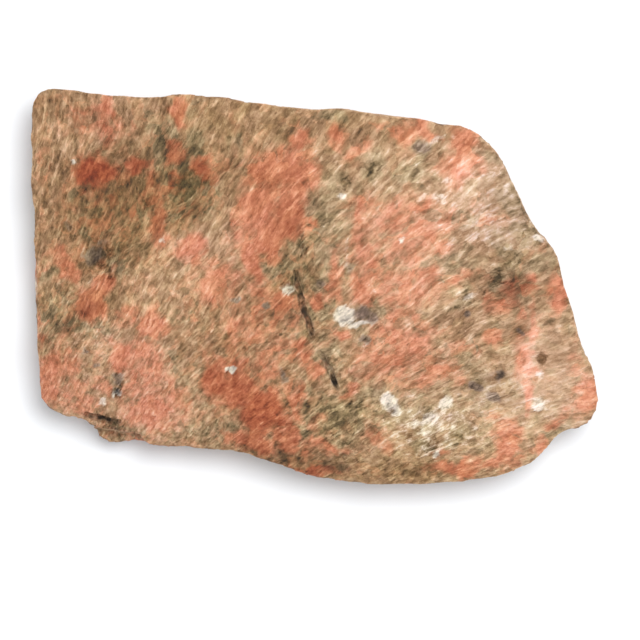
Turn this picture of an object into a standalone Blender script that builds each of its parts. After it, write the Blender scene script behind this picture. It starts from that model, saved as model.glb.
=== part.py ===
"""Rough unakite: one loose stone, a thick slab with a broken rim, lying on its sawn underside.

The outline is the one seen from straight above, with the worn upper face towards +Z. The frame
has +Z up, and its origin is on the underside, at the middle of the stone's box.
Sizes and places below are in millimetres, and MM turns them into Blender's metres.
"""

import math

import bmesh
import bpy
from mathutils import Vector, noise

MM = 0.001

# The slab
THICKNESS = 15.0
RIM_ROUND = 0.8
OUTLINE = [
    (-44.9, 27.6), (-44.2, 30.5), (-41.6, 31.5), (-37.0, 31.1), (-32.0, 30.6), (-27.4, 30.3),
    (-23.0, 30.7), (-16.5, 30.3), (-7.0, 29.0), (-1.4, 28.5), (5.0, 28.3), (9.4, 27.7),
    (21.0, 25.9), (25.1, 24.9), (28.6, 22.1), (31.4, 16.9), (34.8, 9.9), (38.5, 5.3),
    (39.3, 2.6), (41.7, -6.2), (44.5, -14.2), (45.2, -17.5), (43.6, -21.0), (38.6, -23.6),
    (36.6, -25.8), (34.8, -27.9), (29.8, -29.6), (21.6, -31.0), (9.4, -31.4), (1.6, -30.2),
    (-7.0, -27.8), (-11.4, -26.2), (-18.2, -25.5), (-27.0, -24.8), (-33.6, -23.8), (-35.0, -22.4),
    (-35.8, -21.2), (-42.6, -18.7), (-43.6, -17.2), (-44.2, -3.0), (-44.8, 12.0),
]

# Broken faces round the side: the way each faces, its lean inwards from upright (both in
# degrees), and how far under the upper face it starts
SIDE_BREAKS = [
    (181, 8, 1.6), (176, 24, 8.5), (203, 18, 4.5), (218, 30, 5.5), (149, 13, 5.5), (97, 11, 1.4),
    (100, 31, 9.0), (84, 17, 3.0), (70, 30, 8.0), (60, 20, 3.0), (28, 14, 1.6), (24, 36, 8.5),
    (12, 21, 3.4), (-12, 15, 1.8), (-20, 35, 7.5), (-42, 17, 5.0), (-62, 33, 7.0), (-84, 13, 1.8),
    (-80, 34, 9.5), (-101, 19, 3.2), (-112, 9, 1.6), (-118, 29, 7.5), (-128, 24, 5.0),
]

# Slopes worn on the upper face: the way each falls in degrees, how far from the origin it
# starts, and how many millimetres it falls for each one along
UPPER_SLOPES = [
    (-107, 20.5, 0.34), (-82, 24.5, 0.20), (-30, 35.0, 0.22), (20, 31.0, 0.16), (48, 26.5, 0.22),
    (93, 25.5, 0.18), (178, 36.0, 0.10), (225, 36.0, 0.20),
]

# A low scarp crosses the upper face, and the ground beyond it, at the upper left, is sunken
SCARP_FOOT = (-43.6, -9.2)
SCARP_HEAD = (-15.8, 14.0)
SCARP_DROP = 2.2
SCARP_WIDTH = 3.2
SCARP_REACH = 24.0

# A shallow trough runs down the middle, with an open fissure in it in two lengths. Each point
# of a fissure is x, y, its width there and its depth
TROUGH = [(-0.5, 11.5), (-2.2, 4.0), (-0.8, -3.6), (1.8, -10.0), (3.8, -16.0)]
TROUGH_DEPTH = 0.55
TROUGH_WIDTH = 2.6
FISSURES = [
    [(-2.7, 5.6, 0.2, 0.3), (-2.0, 3.4, 0.6, 1.1), (-1.5, 1.0, 0.7, 1.5), (-0.8, -1.8, 0.6, 1.3),
     (-0.3, -3.4, 1.0, 1.6), (-0.1, -4.3, 0.3, 0.4)],
    [(0.9, -7.2, 0.2, 0.3), (1.4, -9.0, 0.5, 1.0), (2.2, -11.3, 0.7, 1.4), (3.1, -13.8, 0.7, 1.5),
     (3.7, -15.6, 0.6, 1.2), (4.0, -16.6, 0.2, 0.3)],
]

# Hollows and lumps of the upper face: x, y, reach along, reach across, turn in degrees, height
HOLLOWS_AND_LUMPS = [
    (-34.6, 4.8, 2.9, 2.1, -35, -0.90),
    (-34.0, 19.0, 3.4, 2.6, 20, -0.65),
    (-20.5, 13.6, 4.2, 2.4, 60, -0.75),
    (-23.5, 24.5, 3.4, 1.8, 75, -0.45),
    (29.6, 0.6, 3.8, 3.0, 20, -1.00),
    (34.2, 2.4, 3.0, 2.4, 0, -0.55),
    (17.2, 22.4, 2.2, 1.3, 35, -0.80),
    (9.6, -4.2, 2.2, 1.2, -20, -0.70),
    (5.0, 16.4, 1.6, 1.1, 50, -0.50),
    (35.8, -11.2, 1.5, 1.2, 40, -0.60),
    (25.6, -15.6, 2.2, 1.3, -30, -0.55),
    (16.0, -29.0, 3.2, 1.6, 5, -0.90),
    (2.6, -28.4, 3.6, 1.4, 15, -0.80),
    (6.0, -20.0, 4.0, 2.6, 30, -0.50),
    (-31.8, -6.4, 3.0, 2.4, 30, 0.55),
    (-4.5, 14.0, 5.5, 9.0, -20, 0.50),
    (14.5, -4.5, 9.0, 12.0, 15, 0.60),
    (-12.5, -17.5, 4.0, 7.5, 25, 0.45),
    (-26.0, -17.5, 5.5, 4.0, -10, 0.45),
    (22.0, 18.0, 5.0, 5.0, 0, 0.35),
    (36.5, -17.5, 3.5, 4.5, 10, 0.35),
]

# A ledge where a flake has come away from the lower left of the rim
LEDGE_HEAD = (-35.8, -21.0)
LEDGE_FOOT = (-27.6, -23.2)
LEDGE_DROP = 3.4
LEDGE_STEP = 0.9

# Grain of the broken rock: facets, creases and swellings, each with its size and its height
SIDE_FACET = 8.0
SIDE_FACET_TILT = 0.55
SIDE_FACET_STEP = 0.9
SIDE_CREASE = 6.0
SIDE_CREASE_HEIGHT = 0.8
SIDE_STANDS_OUT = 0.2
SIDE_SITS_BACK = 0.4
UPPER_FACET = 5.5
UPPER_FACET_TILT = 0.11
UPPER_FACET_STEP = 0.22
UPPER_CREASE = 5.0
UPPER_CREASE_HEIGHT = 0.3
SWELLING = 17.0
SIDE_SWELLING_HEIGHT = 0.8
UPPER_SWELLING_HEIGHT = 0.4

# The solid
NOISE_SEED = 12
SKIN_VOXEL = 0.62
BASE_CUT = 0.9
MOST_TRIANGLES = 9000
SHARP_ANGLE = 38.0

SALMON_FELDSPAR = (0.46, 0.20, 0.11, 1.0)
STONE_ROUGHNESS = 0.72


def clear_scene():
    for obj in list(bpy.data.objects):
        bpy.data.objects.remove(obj)


def new_collection(name):
    collection = bpy.data.collections.new(name)
    bpy.context.scene.collection.children.link(collection)
    return collection


def stone_material():
    material = bpy.data.materials.new("unakite")
    material.use_nodes = True
    shader = material.node_tree.nodes["Principled BSDF"]
    shader.inputs["Base Color"].default_value = SALMON_FELDSPAR
    shader.inputs["Roughness"].default_value = STONE_ROUGHNESS
    shader.inputs["Metallic"].default_value = 0.0
    return material


def ease(value, start, end):
    """0 before start, 1 after end, and a smooth rise between them."""
    share = min(1.0, max(0.0, (value - start) / (end - start)))
    return share * share * (3.0 - 2.0 * share)


def heading(degrees):
    angle = math.radians(degrees)
    return Vector((math.cos(angle), math.sin(angle), 0.0))


def flat_point(point):
    return Vector((point[0], point[1], 0.0))


def distance_to_path(place, path):
    """How far place is from a run of straight lines, and how far along it, from 0 to 1."""
    nearest = (1e9, 0.0)
    runs = len(path) - 1
    for i in range(runs):
        start, end = flat_point(path[i]), flat_point(path[i + 1])
        run = end - start
        share = min(1.0, max(0.0, (place - start).dot(run) / run.length_squared))
        away = (place - start - run * share).length
        nearest = min(nearest, (away, (i + share) / runs))
    return nearest


def outline_curve(collection):
    """The slab as a flat outline with a thickness and a rounded rim."""
    curve = bpy.data.curves.new("slab_outline", "CURVE")
    curve.dimensions = "2D"
    curve.fill_mode = "BOTH"
    curve.resolution_u = 5
    curve.extrude = (THICKNESS / 2 - RIM_ROUND) * MM
    curve.bevel_depth = RIM_ROUND * MM
    curve.bevel_resolution = 2
    curve.offset = -RIM_ROUND * MM
    spline = curve.splines.new("BEZIER")
    spline.bezier_points.add(len(OUTLINE) - 1)
    spline.use_cyclic_u = True
    for point, place in zip(spline.bezier_points, OUTLINE):
        point.co = flat_point(place) * MM
        point.handle_left_type = point.handle_right_type = "AUTO"
    slab = bpy.data.objects.new("slab_outline", curve)
    slab.location.z = THICKNESS / 2 * MM
    collection.objects.link(slab)
    return slab


def as_mesh(obj, name, collection):
    """obj as a mesh object with its modifiers applied, in millimetres at the world's origin."""
    bpy.context.view_layer.update()
    graph = bpy.context.evaluated_depsgraph_get()
    mesh = bpy.data.meshes.new_from_object(obj.evaluated_get(graph))
    mesh.transform(obj.matrix_world)
    bpy.data.objects.remove(obj)
    made = bpy.data.objects.new(name, mesh)
    collection.objects.link(made)
    return made


def edit_mesh(obj, change):
    """Lets change(bm) work on the object's mesh."""
    bm = bmesh.new()
    bm.from_mesh(obj.data)
    change(bm)
    bm.to_mesh(obj.data)
    bm.free()


def cut_away(bm, place, outward):
    """Removes what lies outward of a plane and closes the cut with a flat face."""
    everything = bm.verts[:] + bm.edges[:] + bm.faces[:]
    cut = bmesh.ops.bisect_plane(
        bm, geom=everything, dist=1e-8, plane_co=place, plane_no=outward, clear_outer=True
    )
    rim = [part for part in cut["geom_cut"] if isinstance(part, bmesh.types.BMEdge)]
    bmesh.ops.holes_fill(bm, edges=rim)


def break_sides(bm):
    """Each broken face starts where the rim reaches furthest its way, and leans in downwards."""
    bmesh.ops.remove_doubles(bm, verts=bm.verts[:], dist=1e-6)
    for facing, lean, start in SIDE_BREAKS:
        out = heading(facing)
        furthest = max(out.dot(flat_point(place)) for place in OUTLINE)
        place = out * furthest
        place.z = THICKNESS - start
        tilt = math.radians(lean)
        outward = out * math.cos(tilt) - Vector((0.0, 0.0, math.sin(tilt)))
        cut_away(bm, place * MM, outward)


def facet_height(place, size, tilt, step):
    """Height of a surface broken into flat facets of about that size, with steps between them."""
    distances, cells = noise.voronoi(place / size)
    levels = []
    for distance, cell in zip(distances, cells):
        lean = tilt * noise.noise_vector(cell * 7.31)
        beyond = size * (distance - distances[0])
        levels.append((place - cell * size).dot(lean) - step * beyond)
    return max(levels)


def crease_height(place, size):
    """Rounded swellings between sharp creases, from about -1 to 0."""
    return -noise.turbulence(place / size, 3, True, amplitude_scale=0.45)


def scarp_height(place):
    """The sunken ground on the upper left of the scarp."""
    foot, head = flat_point(SCARP_FOOT), flat_point(SCARP_HEAD)
    along = (head - foot).normalized()
    across = Vector((-along.y, along.x, 0.0))
    wander = 1.4 * noise.noise(place / 7.0)
    beyond = (place - foot).dot(across) + wander
    past_head = ease((place - head).dot(along), 0.0, 14.0)
    sunken = ease(beyond, 0.0, SCARP_WIDTH) * (1.0 - 0.75 * ease(beyond, 7.0, SCARP_REACH))
    return -SCARP_DROP * sunken * (1.0 - 0.7 * past_head)


def trough_height(place):
    away, _ = distance_to_path(place, TROUGH)
    return -TROUGH_DEPTH * math.exp(-((away / TROUGH_WIDTH) ** 2))


def bump_height(place):
    total = 0.0
    for x, y, along, across, turn, height in HOLLOWS_AND_LUMPS:
        step = place - Vector((x, y, 0.0))
        way = heading(turn)
        side = Vector((-way.y, way.x, 0.0))
        spread = (step.dot(way) / along) ** 2 + (step.dot(side) / across) ** 2
        total += height * math.exp(-(spread**1.5))
    return total


def slope_height(place):
    return -max(
        0.0, *((place.dot(heading(way)) - start) * fall for way, start, fall in UPPER_SLOPES)
    )


def ledge_height(place):
    """The drop outside the line where the flake broke off."""
    head, foot = flat_point(LEDGE_HEAD), flat_point(LEDGE_FOOT)
    along = (foot - head).normalized()
    across = Vector((along.y, -along.x, 0.0))
    outside = (place - head).dot(across) + 0.35 * noise.noise(place / 2.2)
    within = 1.0 - ease((place - foot).dot(along), -1.5, 1.5)
    return -LEDGE_DROP * ease(outside, 0.0, LEDGE_STEP) * within


def upper_height(place):
    """How far the upper face stands above or below its plane at a place seen from above."""
    shape = (
        slope_height(place)
        + scarp_height(place)
        + trough_height(place)
        + bump_height(place)
        + ledge_height(place)
    )
    swelling = UPPER_SWELLING_HEIGHT * noise.fractal(place / SWELLING, 1.0, 2.0, 3)
    crease = UPPER_CREASE_HEIGHT * crease_height(place, UPPER_CREASE)
    facet = facet_height(place, UPPER_FACET, UPPER_FACET_TILT, UPPER_FACET_STEP)
    return shape + swelling + crease + facet


def side_height(place):
    """How far a broken side stands out or in. It hardly stands out, so the outline stays."""
    moved = place + Vector((31.0, 17.0, 5.0))
    swelling = SIDE_SWELLING_HEIGHT * noise.fractal(moved / SWELLING, 1.0, 2.0, 3)
    crease = SIDE_CREASE_HEIGHT * crease_height(moved, SIDE_CREASE)
    facet = facet_height(moved, SIDE_FACET, SIDE_FACET_TILT, SIDE_FACET_STEP)
    return min(swelling + crease + facet - SIDE_SITS_BACK, SIDE_STANDS_OUT)


def shape_skin(bm):
    """Moves the skin: the upper face up and down, and the sides in and out."""
    bm.normal_update()
    places = [(vert, vert.co / MM, vert.normal.copy()) for vert in bm.verts]
    for vert, place, normal in places:
        high = ease(place.z, THICKNESS * 0.3, THICKNESS - RIM_ROUND * 0.5)
        lift = upper_height(flat_point(place)) * high
        upright = 1.0 - ease(abs(normal.z), 0.45, 0.85)
        below_rim = 0.2 + 0.8 * ease(THICKNESS - place.z, 0.8, 7.5)
        push = side_height(place) * upright * below_rim
        vert.co = (place + normal * push + Vector((0.0, 0.0, lift))) * MM


def sort_skin(bm):
    """Puts the corners and faces in order of place, so that the stone comes out the same."""
    order = Vector((1.0, 0.618, 0.337))
    bm.verts.sort(key=lambda vert: vert.co.dot(order))
    bm.edges.sort(key=lambda edge: (edge.verts[0].co + edge.verts[1].co).dot(order))
    bm.faces.sort(key=lambda face: face.calc_center_median().dot(order))


def fissure_cutter(path, collection):
    """A wedge along the fissure, standing with its edge down, from above the skin to its depth."""
    bm = bmesh.new()
    rings = []
    for i, (x, y, width, depth) in enumerate(path):
        ahead, behind = path[min(i + 1, len(path) - 1)], path[max(i - 1, 0)]
        way = Vector((ahead[0] - behind[0], ahead[1] - behind[1], 0.0)).normalized()
        across = Vector((-way.y, way.x, 0.0))
        middle = flat_point((x, y))
        skin = THICKNESS + upper_height(middle)
        top, deep = skin + 1.0, skin - depth
        half = 0.5 * width * (top - deep) / depth
        corners = [(-half, top), (half, top), (0.0, deep)]
        rings.append(
            [bm.verts.new((middle + across * out + Vector((0, 0, z))) * MM) for out, z in corners]
        )
    for ring, following in zip(rings, rings[1:]):
        for i in range(3):
            j = (i + 1) % 3
            bm.faces.new((ring[i], following[i], following[j], ring[j]))
    bm.faces.new(rings[0])
    bm.faces.new(reversed(rings[-1]))
    bmesh.ops.recalc_face_normals(bm, faces=bm.faces[:])
    mesh = bpy.data.meshes.new("fissure")
    bm.to_mesh(mesh)
    bm.free()
    cutter = bpy.data.objects.new("fissure", mesh)
    cutter.display_type = "WIRE"
    cutter.hide_render = True
    collection.objects.link(cutter)
    return cutter


def cut_fissures(stone, collection, cutters):
    for path in FISSURES:
        cut = stone.modifiers.new("fissure", "BOOLEAN")
        cut.operation = "DIFFERENCE"
        cut.solver = "EXACT"
        cut.object = fissure_cutter(path, cutters)
    return as_mesh(stone, "rough_unakite_stone", collection)


def voxel_skin(stone, collection):
    remesh = stone.modifiers.new("skin", "REMESH")
    remesh.mode = "VOXEL"
    remesh.voxel_size = SKIN_VOXEL * MM
    return as_mesh(stone, "stone_skin", collection)


def thinned(stone, collection):
    """Fewer, larger triangles where the skin is nearly flat."""
    stone.data.calc_loop_triangles()
    decimate = stone.modifiers.new("fewer_triangles", "DECIMATE")
    decimate.ratio = MOST_TRIANGLES / len(stone.data.loop_triangles)
    return as_mesh(stone, "stone_thinned", collection)


def saw_underside(bm):
    cut_away(bm, Vector((0.0, 0.0, BASE_CUT * MM)), Vector((0.0, 0.0, -1.0)))


def set_origin(bm):
    """Sets the frame's origin in the middle of the underside, and leaves triangles only."""
    xs = [vert.co.x for vert in bm.verts]
    ys = [vert.co.y for vert in bm.verts]
    middle = Vector(((min(xs) + max(xs)) / 2, (min(ys) + max(ys)) / 2, BASE_CUT * MM))
    bmesh.ops.translate(bm, verts=bm.verts[:], vec=-middle)
    bmesh.ops.triangulate(bm, faces=bm.faces[:])


def make_stone(collection, cutters):
    stone = as_mesh(outline_curve(collection), "slab", collection)
    edit_mesh(stone, break_sides)
    stone = voxel_skin(stone, collection)
    edit_mesh(stone, sort_skin)
    edit_mesh(stone, shape_skin)
    stone = thinned(stone, collection)
    edit_mesh(stone, saw_underside)
    stone = cut_fissures(stone, collection, cutters)
    edit_mesh(stone, set_origin)
    stone.data.shade_smooth()
    stone.data.set_sharp_from_angle(angle=math.radians(SHARP_ANGLE))
    stone.data.materials.append(stone_material())
    return stone


noise.seed_set(NOISE_SEED)
clear_scene()
make_stone(new_collection("rough_unakite"), new_collection("cutters"))
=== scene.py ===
"""Rough unakite: a hand-size slab of loose stone, seen from straight above on a white floor.

The stone is one piece. Its worn upper face carries pits, an open fissure and fine strokes, as
of a coarse saw; its sides are freshly broken. The feldspar is salmon, the epidote olive, the quartz
grey to white. Places are in millimetres in the stone's own frame, x and y as seen from above.
"""

import math

import bpy
import numpy as np
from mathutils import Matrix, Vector, noise


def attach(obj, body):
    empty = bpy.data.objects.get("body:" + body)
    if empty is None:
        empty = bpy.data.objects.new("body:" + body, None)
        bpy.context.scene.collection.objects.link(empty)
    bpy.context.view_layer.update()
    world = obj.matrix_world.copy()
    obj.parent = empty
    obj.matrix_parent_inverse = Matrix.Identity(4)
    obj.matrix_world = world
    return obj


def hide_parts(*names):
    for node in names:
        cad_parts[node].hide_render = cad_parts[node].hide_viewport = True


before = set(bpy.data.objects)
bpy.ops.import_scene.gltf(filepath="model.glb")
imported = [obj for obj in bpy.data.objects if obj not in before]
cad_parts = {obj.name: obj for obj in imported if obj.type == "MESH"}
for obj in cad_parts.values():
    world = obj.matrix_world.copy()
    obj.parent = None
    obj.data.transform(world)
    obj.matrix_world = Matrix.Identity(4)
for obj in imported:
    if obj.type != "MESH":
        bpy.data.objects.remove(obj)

MM = 0.001
STONE = "rough_unakite_stone"

# The strokes lean this many degrees from the x axis at the middle, and turn by so many degrees
# for each millimetre to the right and up
STROKE_LEAN = 44.5
STROKE_TURN_X = -0.53
STROKE_TURN_Y = 0.33

# Skin of the stone, and how far its rim is let out after the smoothing has drawn it in
SKIN_VOXEL = 0.60
RIM_OUT = 0.66
FLAT_BELOW = 0.3

# The worn upper face: its height, the z that the normals of its faces exceed, from where to where
# that z makes a corner part of it, and how far below it the minerals of the sides take over
FACE_HEIGHT = 14.0
UPPER_FACING = 0.35
UPPER_FROM, UPPER_TO = 0.30, 0.72
DEEP_FROM, DEEP_TO = 1.5, 5.0

# Between which heights the turn of the rim comes in, and the lip of the sides below it
TURN_HEIGHTS, LIP_HEIGHTS = (8.0, 11.0), (10.0, 12.5)

# Finer faces within these reaches of the fissure, where a normal's z exceeds the next number, and
# how far past half its width its walls end
FINER_WITHIN = (1.4, 0.7)
CUT_FACING = 0.2
WALL_RUN = 0.22

# What is broken out of the sides, how much of that is left at the rim and spared at the left side,
# and how far the sides stand out before; then the grit all over
FACET_SIZE, FACET_DEPTH = 4.6, 0.95
CHIP_SIZE, CHIP_DEPTH = 2.1, 0.50
CRUMB_SIZE, CRUMB_DEPTH = 0.9, 0.30
RIM_BREAKAGE, LEFT_CALM = 0.04, 0.65
SIDES_OUT = 0.25
GRIT_SIZE, GRIT_HEIGHT = 1.1, 0.22

# Where the rim stands further out, or in below zero: x, y, amount; each reaches SHIFT_REACH
SHIFT_REACH = 3.4
RIM_SHIFTS = [
    (38.9, 3.0, 0.25), (32.3, 14.6, 0.35), (29.4, 20.1, 0.5), (25.0, 24.6, 0.45),
    (18.9, 26.3, 0.25), (7.8, 28.4, -0.2), (2.7, 28.9, -0.15), (-8.0, 29.2, 0.2),
    (-42.7, 30.2, 0.25), (-45.3, 21.0, -0.2), (-45.1, 11.9, -0.3), (-44.5, 3.6, 0.05),
    (-44.2, -4.2, 0.2), (-44.3, -12.2, -0.5), (-40.5, -19.1, 0.5), (-34.8, -22.8, 0.5),
    (-32.3, -23.3, 0.3), (-24.5, -24.8, 0.25), (-17.6, -25.4, 0.2), (-12.0, -26.0, 0.2),
    (-2.4, -29.0, 0.3), (14.7, -31.4, -0.3), (29.3, -29.4, 0.45), (36.3, -25.7, 0.35),
    (42.9, -20.2, 0.75), (43.5, -12.2, 0.3), (41.0, -4.1, 0.25),
]

# The open fissure in three lengths, and the cleft above the ledge: x, y, width, depth
FISSURE = [
    [(-2.2, 7.8, 0.3, 0.15), (-1.8, 6.4, 0.5, 0.35), (-1.6, 4.8, 0.3, 0.15)],
    [(-3.0, 2.6, 0.3, 0.3), (-2.8, 1.0, 0.8, 0.6), (-2.2, -0.8, 0.7, 0.5), (-1.8, -3.0, 0.8, 0.7),
     (-0.9, -5.4, 0.6, 0.8), (-0.4, -7.2, 0.7, 0.9), (-0.2, -7.9, 0.3, 0.3)],
    [(0.9, -10.2, 0.2, 0.2), (1.7, -11.6, 0.6, 0.5), (2.5, -13.0, 0.6, 0.7), (3.2, -14.9, 0.6, 0.8),
     (3.7, -16.2, 0.3, 0.3)],
    [(-36.6, -20.4, 0.4, 0.4), (-35.2, -20.8, 0.7, 0.9), (-33.8, -21.2, 0.8, 1.0),
     (-32.4, -21.5, 0.6, 0.8), (-31.2, -21.6, 0.3, 0.3)],
]

# Pits: x, y, radius, depth
PITS = [
    (-34.6, 4.9, 1.5, 0.45), (-36.6, 8.9, 0.8, 0.40), (-39.2, 9.7, 0.8, 0.35), (-32.3, 5.5, 0.8, 0.4),
    (17.2, 22.4, 1.2, 0.35), (9.9, -4.3, 1.0, 0.45), (5.0, 16.4, 0.9, 0.5), (36.3, -11.3, 1.0, 0.5),
    (25.8, -15.6, 0.9, 0.4), (29.6, -13.5, 0.7, 0.3), (28.7, -17.8, 0.7, 0.3), (-36.3, -10.0, 0.6, 0.4),
    (-34.9, -12.1, 0.5, 0.3), (-7.5, -3.0, 0.6, 0.35), (-4.8, -14.0, 0.8, 0.3), (24.3, -4.1, 0.8, 0.3),
    (32.6, -7.1, 0.6, 0.35), (-18.9, 22.3, 0.7, 0.3), (-20.4, 17.7, 0.8, 0.3), (29.0, 1.5, 1.5, 0.4),
    (-27.2, 13.2, 0.7, 0.35), (-32.5, 1.4, 0.5, 0.4), (3.4, -28.9, 1.6, 0.4), (-3.6, -27.6, 1.3, 0.4),
    (15.5, -29.3, 1.3, 0.4), (1.0, 0.4, 0.8, 0.4), (5.3, 2.5, 0.8, 0.3), (22.7, -2.8, 0.3, 0.3),
]

# The camera: lens, sensor, the middle of its frame, and what the frame spans there
LENS, SENSOR = 200.0, 36.0
LOOK_AT = (0.96, -5.2, 13.6)
FRAME_ACROSS = 102.4

# The light of the room
ROOM_COLOUR, ROOM_LIGHT = (0.985, 1.0, 1.015, 1.0), 0.68

# A patch is whole up to this share of its reach and gone at that one; how fast a wide area fades
PATCH_CORE, PATCH_END = 0.35, 1.75
AREA_FALL = 0.9

# The least feldspar on the upper face, and the minerals of the sides: mean amounts and change
LEAST_SALMON = 0.10
SIDE_SALMON, SIDE_OLIVE, SIDE_QUARTZ = 0.42, 0.30, 1.2
SIDE_CHANGE = 1.1

# How dark the painted shade in the fissure is: for each millimetre of depth, as a mean, and how much
# that changes
SHADE_PER_DEPTH = 1.4
CLEFT_SHADE, CLEFT_CHANGE = 0.68, 0.7

# How light a middling grain is, and how much lighter quartz and duller grey grains are
MIDDLE_LIGHT = 0.535
PALER, DULLER = 0.15, -0.06

# Roughness, and the height of the finest relief
STONE_ROUGH, QUARTZ_ROUGH = 0.78, 0.42
BUMP_HEIGHT = 0.22
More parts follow.
